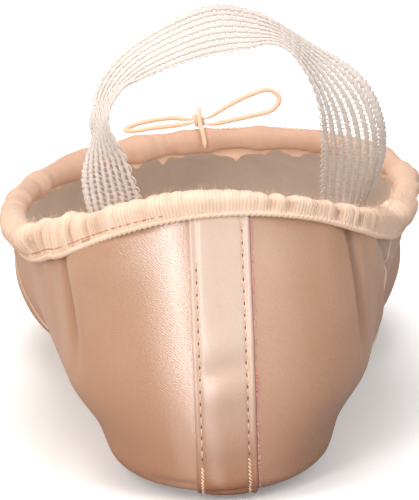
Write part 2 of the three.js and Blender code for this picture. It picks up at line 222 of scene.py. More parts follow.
@dataclass(frozen=True)
class Last:
    """The upper's surface over the last, in millimetres from the back of the heel."""

    length: float = 236.0
    ball_width: float = 82.0
    heel_height: float = 62.0
    quarter_wall: float = 1.4
    box_wall: float = 2.8
    outsole_thickness: float = 2.2
    insole_thickness: float = 1.6
    gap: float = 0.3
    heel_end: float = 0.32
    toe_start: float = 0.66
    box_full: float = 0.9
    turned_in: float = 5.0
    bead_width: float = 1.5
    bead_rise: float = 1.3
    collar_skew: float = 0.1
    collar_tilt: float = 0.03
    lift_at: float = 0.45
    lift_reach: float = 0.085
    lift_left: float = 2.1
    lift_right: float = 1.0
    platform_softness: float = 2.4
    bead_ring: int = 2
    collar_ring: int = 9
    step_around: float = 0.004
    step_up: float = 0.05
    slides: int = 4
    halvings: int = 24

    sole_line = (
        (0.0, 0.0), (0.25, 0.0), (0.45, 3.0), (0.61, 0.0), (0.8, 0.0), (0.9, 1.5), (1.0, 3.0))
    outsole_row = (
        0.057, 0, 0.17, 0.34, 0, 0.3, 0, 0.68, 0.62, 0, 0.882, 0, 2.0, 2.0, 1.0, 0)
    insole_row = (
        0.05, 0, 0.17, 0.4, 0, 0.36, 0, 0.68, 0.65, 0, 0.872, 0, 2.0, 2.0, 1.0, 0)
    side_rows = (
        (0.02, 0.044, 0.165, 0.52, 0.056, 0.54, 0.066, 0.68,
         0.8, 0.058, 0.965, 0.065, 2.0, 2.0, 1.0, 0.0),
        (0.008, 0.161, 0.16, 0.6, 0.177, 0.73, 0.177, 0.68,
         0.93, 0.15, 1.02, 0.16, 2.1, 2.0, 0.8, 0.04),
        (0.0, 0.33, 0.15, 0.71, 0.32, 0.84, 0.31, 0.67,
         1.0, 0.27, 1.04, 0.29, 2.2, 2.0, 0.5, 0.08),
        (0.0, 0.54, 0.14, 0.745, 0.49, 0.885, 0.45, 0.64,
         1.0, 0.42, 1.02, 0.42, 2.3, 2.0, 0.2, 0.12),
        (0.002, 0.72, 0.132, 0.755, 0.63, 0.905, 0.56, 0.57,
         0.995, 0.545, 0.93, 0.54, 2.3, 2.0, 0.0, 0.15),
        (0.005, 0.85, 0.128, 0.755, 0.72, 0.915, 0.625, 0.49,
         0.995, 0.635, 0.77, 0.66, 2.3, 2.1, 0.0, 0.16),
        (0.007, 0.96, 0.127, 0.755, 0.79, 0.925, 0.675, 0.405,
         1.0, 0.69, 0.63, 0.754, 2.3, 2.3, 0.0, 0.17))

    @property
    def pocket_rise(self) -> float:
        """Height of the turned-in edge over the outsole."""
        return self.outsole_thickness + self.gap

    @property
    def insole_bottom(self) -> float:
        """Height of the insole's underside over the sole line."""
        return self.pocket_rise + self.quarter_wall + self.gap

    def ring(self, row: tuple[float, ...]) -> Ring:
        """Ring of a row given in shares of length, half ball width and heel height."""
        drawn = Ring(*row)
        sizes = {}
        for name, value in drawn._asdict().items():
            if name in ("back", "heel_at", "ball_at", "front"):
                value *= self.length
            elif name in ("heel", "waist", "ball"):
                value *= self.ball_width / 2
            elif name.endswith("_rise"):
                value *= self.heel_height
            sizes[name] = value
        return Ring(**sizes)

    @staticmethod
    def let_out(outline: Ring, distance: float, rise: float) -> Ring:
        """The same outline let out by a distance, at one height."""
        wider = {
            name: getattr(outline, name) + distance for name in ("front", "heel", "waist", "ball")}
        level = {name: rise for name in Ring._fields if name.endswith("_rise")}
        return outline._replace(back=outline.back - distance, **wider, **level)

    def rings(self) -> list[Ring]:
        """The upper's rings from its turned-in edge to the collar."""
        outline = self.ring(self.outsole_row)
        return [
            self.let_out(outline, -self.turned_in, self.pocket_rise),
            self.let_out(outline, self.gap, self.pocket_rise),
            self.let_out(outline, self.gap + self.bead_width, self.bead_rise),
            *(self.ring(row) for row in self.side_rows)]

    def sole_rise(self, y: Array) -> Array:
        """Rise of the sole line at a place along the length."""
        return through([(a * self.length, rise) for a, rise in self.sole_line], y)

    def ring_points(self, level: Ring, around: Array) -> Array:
        """Points of one ring, round one side of the shoe.

        Args:
            level: the ring.
            around: from 0 at the back seam to 1 at the platform.

        Returns:
            A point for each place around.
        """
        waist_mid = (self.heel_end + self.toe_start) / 2
        turn = level.heel_at - level.back
        angle = np.clip(around / self.heel_end, 0, 1) * math.pi / 2
        out, on = (f(angle).clip(0) ** (2 / level.heel_power) for f in (np.sin, np.cos))
        heel_x = level.heel * out - level.flare * turn * (out + on - 1)
        heel_y = level.heel_at - turn * on
        pace = (level.ball_at - level.heel_at) / (self.toe_start - self.heel_end)
        widths = [
            (self.heel_end, level.heel), (waist_mid, level.waist), (self.toe_start, level.ball)]
        side_x = through(widths, around, level.flare * pace)
        side_y = level.heel_at + pace * (around - self.heel_end)
        angle = np.clip((1 - around) / (1 - self.toe_start), 0, 1) * math.pi / 2
        out, on = (f(angle).clip(0) ** (2 / level.toe_power) for f in (np.sin, np.cos))
        toe_x = level.ball * out
        toe_y = level.ball_at + (level.front - level.ball_at) * on
        where = [around <= self.heel_end, around <= self.toe_start]
        x = np.select(where, [heel_x, side_x], toe_x)
        y = np.select(where, [heel_y, side_y], toe_y)
        heights = [
            (0, level.back_rise), (self.heel_end, level.heel_rise), (waist_mid, level.waist_rise),
            (self.toe_start, level.ball_rise), (1, level.front_rise)]
        z = through(heights, around) + level.follow * self.sole_rise(y)
        return np.stack([x, y, z], axis=-1)

    def slump(self, level: Array, place: Array) -> Array:
        """Share of the collar's skew that a place takes."""
        waist_mid = (self.heel_end + self.toe_start) / 2
        high = smoothstep(level, self.bead_ring + 1, self.collar_ring)
        toeward = smoothstep(level, self.collar_ring - 3, self.collar_ring)
        return high * (1 - smoothstep(place, waist_mid, 1) * (1 - toeward))

    def outside(self, around: Array, level: Array) -> Array:
        """Outside of the upper.

        Args:
            around: from -1 to 1, with 0 at the back seam.
            level: counts the rings, from the turned-in edge to the collar.

        Returns:
            Points shaped as the arguments, with three coordinates.
        """
        around, level = np.broadcast_arrays(np.asarray(around, float), np.asarray(level, float))
        shape = around.shape
        turned = (around.ravel() + 1) % 2 - 1
        flat = level.ravel()
        place = np.abs(turned)
        rings = np.stack([self.ring_points(ring, place) for ring in self.rings()])
        column = np.arange(len(place))
        lower = np.clip(np.floor(flat).astype(int), 0, self.bead_ring - 1)
        share = (flat - lower)[:, None]
        low = rings[lower, column] * (1 - share) + rings[lower + 1, column] * share
        share = (flat - self.bead_ring) / (self.collar_ring - self.bead_ring)
        high = spline(rings[self.bead_ring:], np.clip(share, 0, 1))
        spare = (self.length - high[:, 1]) / self.platform_softness
        kept = np.maximum(spare, 0) + np.log1p(np.exp(-np.abs(spare)))
        high[:, 1] = self.length - self.platform_softness * kept
        point = np.where((flat < self.bead_ring)[:, None], low, high)
        point[:, 0] *= np.where(turned < 0, -1, 1)
        point[:, 1] += point[:, 0] * self.collar_skew * self.slump(flat, place)
        beside = smoothstep(place, self.heel_end, (self.heel_end + self.toe_start) / 2)
        high = smoothstep(flat, self.collar_ring - 3, self.collar_ring)
        point[:, 2] += point[:, 0] * self.collar_tilt * beside * high
        lift = np.where(turned < 0, self.lift_left, self.lift_right)
        point[:, 2] += lift * np.exp(-((place - self.lift_at) / self.lift_reach) ** 2) * high
        return point.reshape(*shape, 3)

    def run(self, around: Array, level: Array) -> tuple[Array, Array, Array]:
        """How the surface runs: onward around it, up the rib, and out of the wall."""
        around, level = np.broadcast_arrays(np.asarray(around, float), np.asarray(level, float))
        low = np.clip(level - self.step_up, self.bead_ring, self.collar_ring - 2 * self.step_up)
        rib = self.outside(around, low + 2 * self.step_up) - self.outside(around, low)
        onward = (self.outside(around + self.step_around, level)
                  - self.outside(around - self.step_around, level))
        return (onward / (2 * self.step_around), rib / (2 * self.step_up),
                unit(np.cross(onward, rib)))

    def offset(self, around: Array, level: Array, distance: Array) -> Array:
        """Point at a distance out from the upper's surface."""
        return self.outside(around, level) + self.run(around, level)[2] * np.asarray(
            distance, float)[..., None]

    def wall(self, around: Array, level: Array) -> Array:
        """Thickness of the wall, thicker in the box than in the quarters."""
        toeward = smoothstep(np.abs(around), self.toe_start, self.box_full)
        throatward = smoothstep(level, self.collar_ring - 2, self.collar_ring - 1)
        return self.quarter_wall + (self.box_wall - self.quarter_wall) * toeward * (1 - throatward)

    def below_collar(self, around: Array, distance: Array) -> tuple[Array, Array]:
        """Place on the surface at a distance below the collar, square to its edge."""
        around, distance = np.broadcast_arrays(
            np.asarray(around, float), np.asarray(distance, float))
        around, level = around.copy(), np.full(around.shape, float(self.collar_ring))
        for _ in range(self.slides):
            onward, rib, out = self.run(around, level)
            down = unit(np.cross(onward, out))
            drop = distance / self.slides / (rib * down).sum(-1)
            level = level + drop
            around = around - drop * (rib * onward).sum(-1) / (onward ** 2).sum(-1)
        return around, level

    def place_at(self, x: Array, level: Array) -> Array:
        """Place around the heel where the surface is x from the middle."""
        low, high = np.zeros(np.shape(x)), np.full(np.shape(x), self.heel_end)
        for _ in range(self.halvings):
            middle = (low + high) / 2
            short = self.outside(middle, level)[..., 0] < np.abs(x)
            low, high = np.where(short, middle, low), np.where(short, high, middle)
        return np.sign(x) * low

    def back_end(self) -> float:
        """Place along the length of the heel's hindmost point."""
        around = np.linspace(-0.1, 0.1, 201)
        level = np.linspace(self.bead_ring, self.collar_ring, 351)
        return float(self.outside(*np.meshgrid(around, level))[..., 1].min())


def grid_quads(rows: int, cols: int, wrap_rows: bool, wrap_cols: bool) -> Array:
    """Faces of a grid of points, row by row.

    Args:
        rows: number of rows.
        cols: number of points in a row.
        wrap_rows: whether the last row joins the first.
        wrap_cols: whether the last column joins the first.

    Returns:
        Corner numbers, four to a face.
    """
    row = np.arange(rows if wrap_rows else rows - 1)
    col = np.arange(cols if wrap_cols else cols - 1)
    row, col = np.meshgrid(row, col, indexing="ij")
    next_row, next_col = (row + 1) % rows, (col + 1) % cols
    corners = [
        row * cols + col, next_row * cols + col, next_row * cols + next_col, row * cols + next_col]
    return np.stack(corners, axis=-1).reshape(-1, 4)


class Form(NamedTuple):
    """Points in millimetres from the heel, faces of four corners, and their cloth coordinates."""

    points: Array
    faces: Array
    cloth: Array


def tubes(lines: Array, outs: Array, radii: Array, sides: int, closed: bool = False) -> Form:
    """Round or shaped threads along lines of equal point counts.

    Args:
        lines: middles, shaped (threads, steps, 3).
        outs: directions of the section's first axis, shaped as the lines.
        radii: radius, broadcast to (threads, steps, sides).
        sides: number of points around a thread.
        closed: whether each thread joins its own start.

    Returns:
        All threads in one form.
    """
    threads, steps, _ = lines.shape
    if closed:
        onward = np.roll(lines, -1, axis=1) - np.roll(lines, 1, axis=1)
    else:
        onward = np.gradient(lines, axis=1)
    onward = unit(onward)
    side = unit(np.cross(outs, onward))
    up = np.cross(onward, side)
    angle = angles(sides)
    radii = np.broadcast_to(radii, (threads, steps, sides))[..., None]
    around = (np.cos(angle)[:, None] * up[:, :, None, :]
              + np.sin(angle)[:, None] * side[:, :, None, :])
    points = lines[:, :, None, :] + around * radii
    faces = grid_quads(steps, sides, closed, True)
    every = np.concatenate([faces + k * steps * sides for k in range(threads)])
    lengths = np.linalg.norm(np.diff(lines, axis=1), axis=2)
    run = np.concatenate([np.zeros((threads, 1)), np.cumsum(lengths, axis=1)], axis=1)
    girth = np.broadcast_to(angle * float(np.mean(radii)), (threads, steps, sides))
    cloth = np.stack([np.broadcast_to(run[..., None], girth.shape), girth], axis=-1)
    return Form(points.reshape(-1, 3), every, cloth.reshape(-1, 2)[every])


def joined(*forms: Form) -> Form:
    """Several forms as one."""
    starts = np.cumsum([0] + [len(form.points) for form in forms[:-1]])
    return Form(
        np.concatenate([form.points for form in forms]),
        np.concatenate([form.faces + start for form, start in zip(forms, starts)]),
        np.concatenate([form.cloth for form in forms]))


def added(name: str, data: bpy.types.ID) -> bpy.types.Object:
    """A new object of the scene."""
    obj = bpy.data.objects.new(name, data)
    bpy.context.scene.collection.objects.link(obj)
    return obj


class Slot(Enum):
    """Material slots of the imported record."""

    SATIN = "satin"
    SOLE = "sole_leather"
    LINING = "lining"
    BINDING = "binding"
    ELASTIC = "elastic"
    DRAWSTRING = "drawstring"


@dataclass(frozen=True)
class Bench:
    """Turns forms into pieces of the shoe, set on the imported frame."""

    heel_y: float

    def placed(self, points: Array) -> Array:
        """Points in the frame, in metres."""
        return (points + np.array([0.0, self.heel_y, 0.0])) * MM

    def piece(
            self, name: str, form: Form, finishes: list[bpy.types.Material], slot: Slot,
            replaces: tuple[str, ...] = (), finish_of: Array | None = None) -> bpy.types.Object:
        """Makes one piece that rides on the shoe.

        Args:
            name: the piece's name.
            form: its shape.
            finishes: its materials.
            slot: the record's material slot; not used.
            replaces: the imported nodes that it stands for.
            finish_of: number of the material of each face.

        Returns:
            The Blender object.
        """
        mesh = bpy.data.meshes.new(name)
        mesh.from_pydata(self.placed(form.points).tolist(), [], form.faces.tolist())
        mesh.polygons.foreach_set("use_smooth", np.ones(len(form.faces), bool))
        layer = mesh.uv_layers.new(name="Cloth")
        layer.data.foreach_set("uv", (form.cloth / CLOTH_UNIT).astype(np.float32).ravel())
        for finish in finishes:
            mesh.materials.append(finish)
        if finish_of is not None:
            mesh.polygons.foreach_set("material_index", finish_of.astype(np.int32))
        mesh.update()
        obj = added(name, mesh)
        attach(obj, "root")
        if replaces:
            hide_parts(*replaces)
        LOG.info("%s: %d faces", name, len(form.faces))
        return obj


def shade_hollows(obj: bpy.types.Object, share: Array) -> None:
    """Keeps how much painted shade each point of a piece gets in a fold, from 0 to 1, for its
    finish.
    """
    layer = obj.data.attributes.new(FOLD_SHADE, "FLOAT", "POINT")
    layer.data.foreach_set("value", np.clip(share, 0.0, 1.0).astype(np.float32).ravel())


class NodeSketch:
    """Places and links the nodes of one tree."""

    def __init__(self, tree: bpy.types.NodeTree) -> None:
        """Keeps the tree."""
        self.tree = tree

    def fill(self, socket: Socket, value: object) -> None:
        """Links a socket to an input, or sets the input to a value."""
        if isinstance(value, Socket):
            self.tree.links.new(value, socket)
        else:
            socket.default_value = value

    def put(self, node: Node, inputs: dict) -> None:
        """Fills several inputs of a node, by name or number."""
        for key, value in inputs.items():
            self.fill(node.inputs[key], value)

    def add(self, kind: str, inputs: dict | None = None, **settings: object) -> Node:
        """Adds a node.

        Args:
            kind: the node's type.
            inputs: values or sockets for its inputs, by name or number.
            settings: the node's own options.

        Returns:
            The node.
        """
        node = self.tree.nodes.new(kind)
        for name, value in settings.items():
            setattr(node, name, value)
        self.put(node, inputs or {})
        return node

    def sum(self, operation: str, *values: object) -> Socket:
        """Result of a sum on numbers or sockets."""
        node = self.add("ShaderNodeMath", dict(enumerate(values)), operation=operation)
        return node.outputs[0]

    def noise(self, at: Socket, scale: object, detail: float) -> Socket:
        """Noise value from 0 to 1."""
        node = self.add("ShaderNodeTexNoise", {"Vector": at, "Scale": scale, "Detail": detail})
        return node.outputs["Fac"]

    def drawn_out(self, x: Socket, wide: float, y: Socket,
                  tall: float) -> Socket:
        """Place in the cloth, with each direction drawn out by its own share."""
        node = self.add("ShaderNodeCombineXYZ", {
            "X": self.sum("MULTIPLY", x, wide), "Y": self.sum("MULTIPLY", y, tall)})
        return node.outputs[0]

    def between(self, value: object, low: float, high: float, to_low: float = 0.0,
                to_high: float = 1.0) -> Socket:
        """Value spread from one range to another, held at its ends."""
        node = self.add("ShaderNodeMapRange", {
            "Value": value, "From Min": low, "From Max": high, "To Min": to_low, "To Max": to_high})
        return node.outputs["Result"]

    def blend(self, share: object, first: object, second: object) -> Socket:
        """Colour between two colours."""
        node = self.add("ShaderNodeMix", data_type="RGBA")
        inputs = {socket.identifier: socket for socket in node.inputs}
        self.fill(inputs["Factor_Float"], share)
        for name, colour in (("A_Color", first), ("B_Color", second)):
            linked = isinstance(colour, Socket)
            self.fill(inputs[name], colour if linked else (*colour, 1.0))
        return next(socket for socket in node.outputs if socket.identifier == "Result_Color")


def new_material(name: str) -> tuple[bpy.types.Material, NodeSketch, Node]:
    """A new material, its sketch and its shader."""
    material = bpy.data.materials.new(name)
    material.use_nodes = True
    return material, NodeSketch(material.node_tree), material.node_tree.nodes["Principled BSDF"]


class Groups:
    """Shader groups that several finishes share, each built once."""

    @staticmethod
    def made(name: str, takes: dict[str, float | None], gives: list[str]
             ) -> tuple[bpy.types.NodeTree, NodeSketch, Node, Node]:
        """Starts a group.

        Args:
            name: the group's name.
            takes: first value of each input that is a number, or None for a place.
            gives: names of its value outputs.

        Returns:
            The tree, its sketch, and the nodes for its inputs and outputs.
        """
        tree = bpy.data.node_groups.new(name, "ShaderNodeTree")
        for label, value in takes.items():
            kind = "NodeSocketVector" if value is None else "NodeSocketFloat"
            socket = tree.interface.new_socket(name=label, in_out="INPUT", socket_type=kind)
            if value is not None:
                socket.default_value = value
        for label in gives:
            tree.interface.new_socket(name=label, in_out="OUTPUT", socket_type="NodeSocketFloat")
        sketch = NodeSketch(tree)
        return tree, sketch, sketch.add("NodeGroupInput"), sketch.add("NodeGroupOutput")

    @classmethod
    @cache
    def twill(cls) -> bpy.types.NodeTree:
        """Fine diagonal ribs of satin twill, with floats and a fine crepe that catch the light."""
        tree, sketch, takes, gives = cls.made(
            "TwillWeave", {"Cloth": None, "Pitch": 0.006, "Slope": 1.0, "Crepe": 0.0},
            ["Height", "Float"])
        cloth = takes.outputs["Cloth"]
        apart = sketch.add("ShaderNodeSeparateXYZ", {0: cloth}).outputs
        slanted = sketch.sum("MULTIPLY", apart["Y"], takes.outputs["Slope"])
        across = sketch.sum("ADD", apart["X"], slanted)
        along_rib = sketch.sum("SUBTRACT", slanted, apart["X"])
        turns = sketch.sum("DIVIDE", across, takes.outputs["Pitch"])
        turns = sketch.sum("MULTIPLY_ADD", sketch.noise(cloth, 14.0, 2.0), 1.6, turns)
        rib = sketch.sum("SINE", sketch.sum("MULTIPLY", turns, 2 * math.pi))
        slub = sketch.noise(sketch.drawn_out(across, 420.0, along_rib, 95.0), 1.0, 2.0)
        left = sketch.between(apart["X"], 0.02, -0.06)
        crepe = sketch.noise(sketch.drawn_out(apart["X"], 200.0, apart["Y"], 340.0), 1.0, 2.0)
        crepe = sketch.sum("MULTIPLY", sketch.sum("MULTIPLY", crepe, left), takes.outputs["Crepe"])
        ribbed = sketch.sum("MULTIPLY", rib, sketch.between(left, 0.0, 1.0, 0.35, 0.12))
        lit = sketch.sum("ADD", slub, sketch.sum("MULTIPLY", rib, 0.22))
        sketch.put(gives, {
            "Height": sketch.sum("ADD", sketch.sum("ADD", ribbed, slub), crepe),
            "Float": sketch.between(lit, 0.15, 0.9)})
        return tree

    @classmethod
    @cache
    def plain_weave(cls) -> bpy.types.NodeTree:
        """Over and under threads of plain cotton, with uneven yarn."""
        tree, sketch, takes, gives = cls.made(
            "PlainWeave", {"Cloth": None, "Pitch": 0.008}, ["Height", "Yarn"])
        apart = sketch.add("ShaderNodeSeparateXYZ", {0: takes.outputs["Cloth"]})
        waves = []
        for axis in ("X", "Y"):
            turns = sketch.sum("DIVIDE", apart.outputs[axis], takes.outputs["Pitch"])
            waves.append(sketch.sum("SINE", sketch.sum("MULTIPLY", turns, math.pi)))
        weave = sketch.sum("MULTIPLY", *waves)
        yarn = sketch.noise(takes.outputs["Cloth"], 60.0, 3.0)
        sketch.put(gives, {"Height": sketch.sum("MULTIPLY_ADD", weave, 0.5, yarn), "Yarn": yarn})
        return tree

    @classmethod
    @cache
    def rib_knit(cls) -> bpy.types.NodeTree:
        """Upright ribs of a knitted tape, deeper in some places than in others, with painted shade
        in the valleys between them.
        """
        tree, sketch, takes, gives = cls.made(
            "RibKnit", {"Cloth": None, "Pitch": 0.007}, ["Height", "Yarn"])
        cloth = takes.outputs["Cloth"]
        apart = sketch.add("ShaderNodeSeparateXYZ", {0: cloth})
        turns = sketch.sum("DIVIDE", apart.outputs["X"], takes.outputs["Pitch"])
        wave = sketch.sum("ABSOLUTE", sketch.sum("COSINE", sketch.sum("MULTIPLY", turns, math.pi)))
        patch = sketch.between(sketch.noise(cloth, 25.0, 2.0), 0.3, 0.7, 0.4, 1.0)
        # Painted shade: the yarn value drops in the valleys between ribs, which darkens the colour.
        valley = sketch.sum("MULTIPLY", sketch.sum("SUBTRACT", 1.0, wave), patch)
        yarn = sketch.noise(cloth, 300.0, 2.0)
        sketch.put(gives, {
            "Height": sketch.sum("MULTIPLY_ADD", yarn, 0.4, wave),
            "Yarn": sketch.sum("MULTIPLY_ADD", yarn, 0.3, sketch.sum("SUBTRACT", 0.85, valley))})
        return tree

    @classmethod
    @cache
    def handling(cls) -> bpy.types.NodeTree:
        """Uneven tone from handling and light soil."""
        tree, sketch, takes, gives = cls.made(
            "HandlingMarks", {"Place": None, "Spread": 45.0}, ["Tone"])
        cloudy = sketch.noise(takes.outputs["Place"], takes.outputs["Spread"], 4.0)
        sketch.put(gives, {"Tone": sketch.between(cloudy, 0.3, 0.7)})
        return tree


class ClothKind(Enum):
    """How a cloth is woven."""

    TWILL = "twill"
    PLAIN = "plain"
    RIB = "rib"


@dataclass(frozen=True)
class ClothFinish:
    """A woven or knitted cloth; far is its colour at the low or near end of an axis, blended in as
    painted shading.
    """

    name: str
    light: Colour
    dark: Colour
    far: Colour | None = None
    far_axis: str = "Z"
    far_from: float = 0.004
    far_to: float = 0.04
    kind: ClothKind = ClothKind.PLAIN
    pitch: float = 0.7
    slope: float = 1.0
    crepe: float = 0.0
    bump: float = 0.25
    depth: float = 0.00008
    roughness: float = 0.8
    float_gloss: float = 0.0
    sheen: float = 0.2
    sheen_roughness: float = 0.4
    specular: float = 0.5
    contrast: float = 0.05
    stretch: float = 0.0
    stretch_turn: float = 0.25
    density: float = 1.5
    painted_glow: float = 0.0
    toe_rough: float = 0.0
    toe_from: float = -0.06
    toe_to: float = 0.03
    fold_shade: Colour | None = None

    def weave(self, sketch: NodeSketch, cloth: Socket) -> Node:
        """Adds the group of this kind of weave at cloth coordinates."""
        inputs = {"Cloth": cloth, "Pitch": self.pitch / CLOTH_UNIT}
        if self.kind is ClothKind.TWILL:
            inputs.update({"Slope": self.slope, "Crepe": self.crepe})
        kinds = {ClothKind.TWILL: Groups.twill, ClothKind.PLAIN: Groups.plain_weave,
                 ClothKind.RIB: Groups.rib_knit}
        group = sketch.add("ShaderNodeGroup", node_tree=kinds[self.kind]())
        sketch.put(group, inputs)
        return group

    def colour(self, sketch: NodeSketch, place: Socket,
               grain: Socket) -> Socket:
        """Colour of the cloth at a place, with its handling, its painted shading along an axis,
        painted shade in its folds and its grain.
        """
        marks = sketch.add("ShaderNodeGroup", node_tree=Groups.handling())
        sketch.put(marks, {"Place": place})
        colour = sketch.blend(marks.outputs["Tone"], self.dark, self.light)
        # Painted shading: the colour turns towards far along one axis.
        if self.far is not None:
            apart = sketch.add("ShaderNodeSeparateXYZ", {0: place})
            share = sketch.between(apart.outputs[self.far_axis], self.far_from, self.far_to)
            colour = sketch.blend(share, self.far, colour)
        # Painted shade: the colour turns towards the fold colour where a piece's shade attribute is
        # set.
        if self.fold_shade is not None:
            fold_shade_share = sketch.add("ShaderNodeAttribute", attribute_name=FOLD_SHADE).outputs["Fac"]
            colour = sketch.blend(fold_shade_share, colour, self.fold_shade)
        # The grain lightens and darkens the colour; on ribbed cloth it carries painted shade in the
        # rib valleys.
        value = sketch.between(grain, 0.0, 1.0, 1.0 - self.contrast, 1.0 + self.contrast)
        return sketch.add("ShaderNodeHueSaturation", {"Value": value, "Color": colour}).outputs[0]

    def dullness(self, sketch: NodeSketch, place: Socket,
                 grain: Socket) -> Socket:
        """Roughness of the cloth at a place."""
        rough = sketch.between(
            grain, 0.0, 1.0, self.roughness + self.float_gloss, self.roughness - self.float_gloss)
        if self.toe_rough:
            apart = sketch.add("ShaderNodeSeparateXYZ", {0: place})
            toeward = sketch.between(
                apart.outputs["Y"], self.toe_from, self.toe_to, 0.0, self.toe_rough)
            rough = sketch.sum("ADD", rough, toeward)
        return rough

    @cache
    def material(self) -> bpy.types.Material:
        """The finish's material, built once."""
        material, sketch, shader = new_material(self.name)
        place = sketch.add("ShaderNodeTexCoord").outputs
        weave = self.weave(sketch, place["UV"])
        height, grain = weave.outputs
        bump = sketch.add("ShaderNodeBump", {
            "Strength": self.bump, "Distance": self.depth, "Height": height})
        colour = self.colour(sketch, place["Object"], grain)
        sketch.put(shader, {
            "Base Color": colour, "Roughness": self.dullness(sketch, place["Object"], grain),
            "Normal": bump.outputs["Normal"], "Sheen Weight": self.sheen,
            "Sheen Roughness": self.sheen_roughness, "Sheen Tint": (*self.light, 1.0),
            "Specular IOR Level": self.specular, "IOR": self.density, "Anisotropic": self.stretch,
            "Anisotropic Rotation": self.stretch_turn})
        # Painted light: the cloth glows in its own colour, standing in for light inside the shoe.
        if self.painted_glow:
            sketch.put(shader, {"Emission Color": colour, "Emission Strength": self.painted_glow})
        return material


@dataclass(frozen=True)
class LeatherFinish:
    """Plain split leather with grain and scuffs."""

    name: str
    light: Colour
    dark: Colour
    scuff: Colour
    scuffed: float = 0.45
    scratch_scale: Colour = (420.0, 60.0, 60.0)
    scratch_span: Span = (0.6, 0.72)
    spread: float = 60.0
    grain: float = 900.0
    fine_grain: float = 2200.0
    bump: float = 0.4
    depth: float = 0.0001
    roughness: float = 0.72
    specular: float = 0.35

    @cache
    def material(self) -> bpy.types.Material:
        """The finish's material, built once."""
        material, sketch, shader = new_material(self.name)
        place = sketch.add("ShaderNodeTexCoord").outputs["Object"]
        marks = sketch.add("ShaderNodeGroup", node_tree=Groups.handling())
        sketch.put(marks, {"Place": place, "Spread": self.spread})
        tone = marks.outputs["Tone"]
        cells = sketch.add("ShaderNodeTexVoronoi", {"Vector": place, "Scale": self.grain})
        fine = sketch.noise(place, self.fine_grain, 3.0)
        stretched = sketch.add("ShaderNodeMapping", {"Vector": place, "Scale": self.scratch_scale})
        streaks = sketch.noise(stretched.outputs[0], 1.0, 3.0)
        scratch = sketch.between(streaks, *self.scratch_span)
        colour = sketch.blend(tone, self.dark, self.light)
        colour = sketch.blend(sketch.sum("MULTIPLY", scratch, self.scuffed), colour, self.scuff)
        rough = sketch.between(tone, 0.0, 1.0, self.roughness - 0.1, self.roughness + 0.08)
        height = sketch.sum("MULTIPLY_ADD", fine, 0.5, cells.outputs["Distance"])
        bump = sketch.add("ShaderNodeBump", {
            "Strength": self.bump, "Distance": self.depth, "Height": height})
        sketch.put(shader, {
            "Base Color": colour, "Roughness": rough, "Normal": bump.outputs["Normal"],
            "Specular IOR Level": self.specular})
        return material


# Painted shade: the satin darkens towards the bottom of the heel, and in its creases.
SATIN = ClothFinish(
    "PeachSatin", light=srgb(206, 157, 125), dark=srgb(196, 145, 111), far=srgb(190, 130, 92),
    kind=ClothKind.TWILL, pitch=0.72, slope=1.35, crepe=1.7, bump=0.45, depth=0.00007, roughness=0.4,
    float_gloss=0.06, sheen=0.08, sheen_roughness=0.35, specular=0.8, contrast=0.14, stretch=0.92,
    density=2.0, toe_rough=0.24, fold_shade=srgb(158, 102, 66))
# Painted shade: the tape darkens towards its foot.
TAPE_SATIN = ClothFinish(
    "TapeSatin", light=srgb(230, 204, 186), dark=srgb(222, 193, 173), far=srgb(172, 116, 84),
    far_to=0.032, kind=ClothKind.TWILL, pitch=0.72, slope=1.35, bump=0.4, depth=0.00008,
    roughness=0.42, float_gloss=0.06, sheen=0.08, sheen_roughness=0.35, specular=0.6, contrast=0.08,
    stretch=0.9, density=1.7)
# Painted light and shade: the casing is lighter at the back of the heel and darker towards the
# front; the colour for folds is painted shade in its valleys.
BINDING_KNIT = ClothFinish(
    "BindingKnit", light=srgb(208, 176, 156), dark=srgb(198, 162, 140), far=srgb(226, 197, 175),
    far_axis="Y", far_from=-0.055, far_to=0.02, kind=ClothKind.RIB, pitch=0.68, bump=0.3,
    depth=0.0001, roughness=0.85, sheen=0.12, sheen_roughness=0.5, specular=0.3, contrast=0.14,
    fold_shade=srgb(168, 122, 94))
# Painted light and shade: lighter towards the heel, darker towards the front.
BINDING_CLOTH = ClothFinish(
    "BindingCloth", light=srgb(206, 168, 145), dark=srgb(196, 155, 131), far=srgb(220, 190, 168),
    far_axis="Y", far_from=-0.055, far_to=0.02, pitch=0.35, bump=0.3, depth=0.00006,
    roughness=0.85, sheen=0.25, sheen_roughness=0.5, specular=0.3)
WELT_COTTON = ClothFinish(
    "WeltCotton", light=srgb(246, 218, 194), dark=srgb(236, 202, 176), pitch=0.3, bump=0.25,
    roughness=0.75, sheen=0.3, specular=0.3)
# Painted light: the lining glows to stand in for light bounced inside the shoe.
LINING = ClothFinish(
    "LiningDrill", light=srgb(222, 209, 198), dark=srgb(206, 189, 175), pitch=0.55, bump=0.35,
    depth=0.0001, roughness=0.9, sheen=0.1, specular=0.25, painted_glow=0.19)
# Painted light: the raw edge glows like the lining.
RAW_EDGE = ClothFinish(
    "RawEdge", light=srgb(238, 206, 182), dark=srgb(226, 188, 160), pitch=0.45, bump=0.35,
    depth=0.0001, roughness=0.9, sheen=0.1, specular=0.25, painted_glow=0.12)
INSOLE_CLOTH = ClothFinish(
    "InsoleCloth", light=srgb(218, 205, 190), dark=srgb(200, 184, 166), pitch=0.6, bump=0.4,
    depth=0.0001, roughness=0.9, sheen=0.15, specular=0.25)
ELASTIC_YARN = ClothFinish(
    "ElasticYarn", light=srgb(224, 212, 204), dark=srgb(206, 192, 182), pitch=0.22, bump=0.35,
    depth=0.00005, roughness=0.7, sheen=0.3, specular=0.35)
CORD_COTTON = ClothFinish(
    "CordCotton", light=srgb(242, 208, 180), dark=srgb(232, 192, 162), pitch=0.25, bump=0.3,
    depth=0.00005, roughness=0.75, sheen=0.3, specular=0.3)
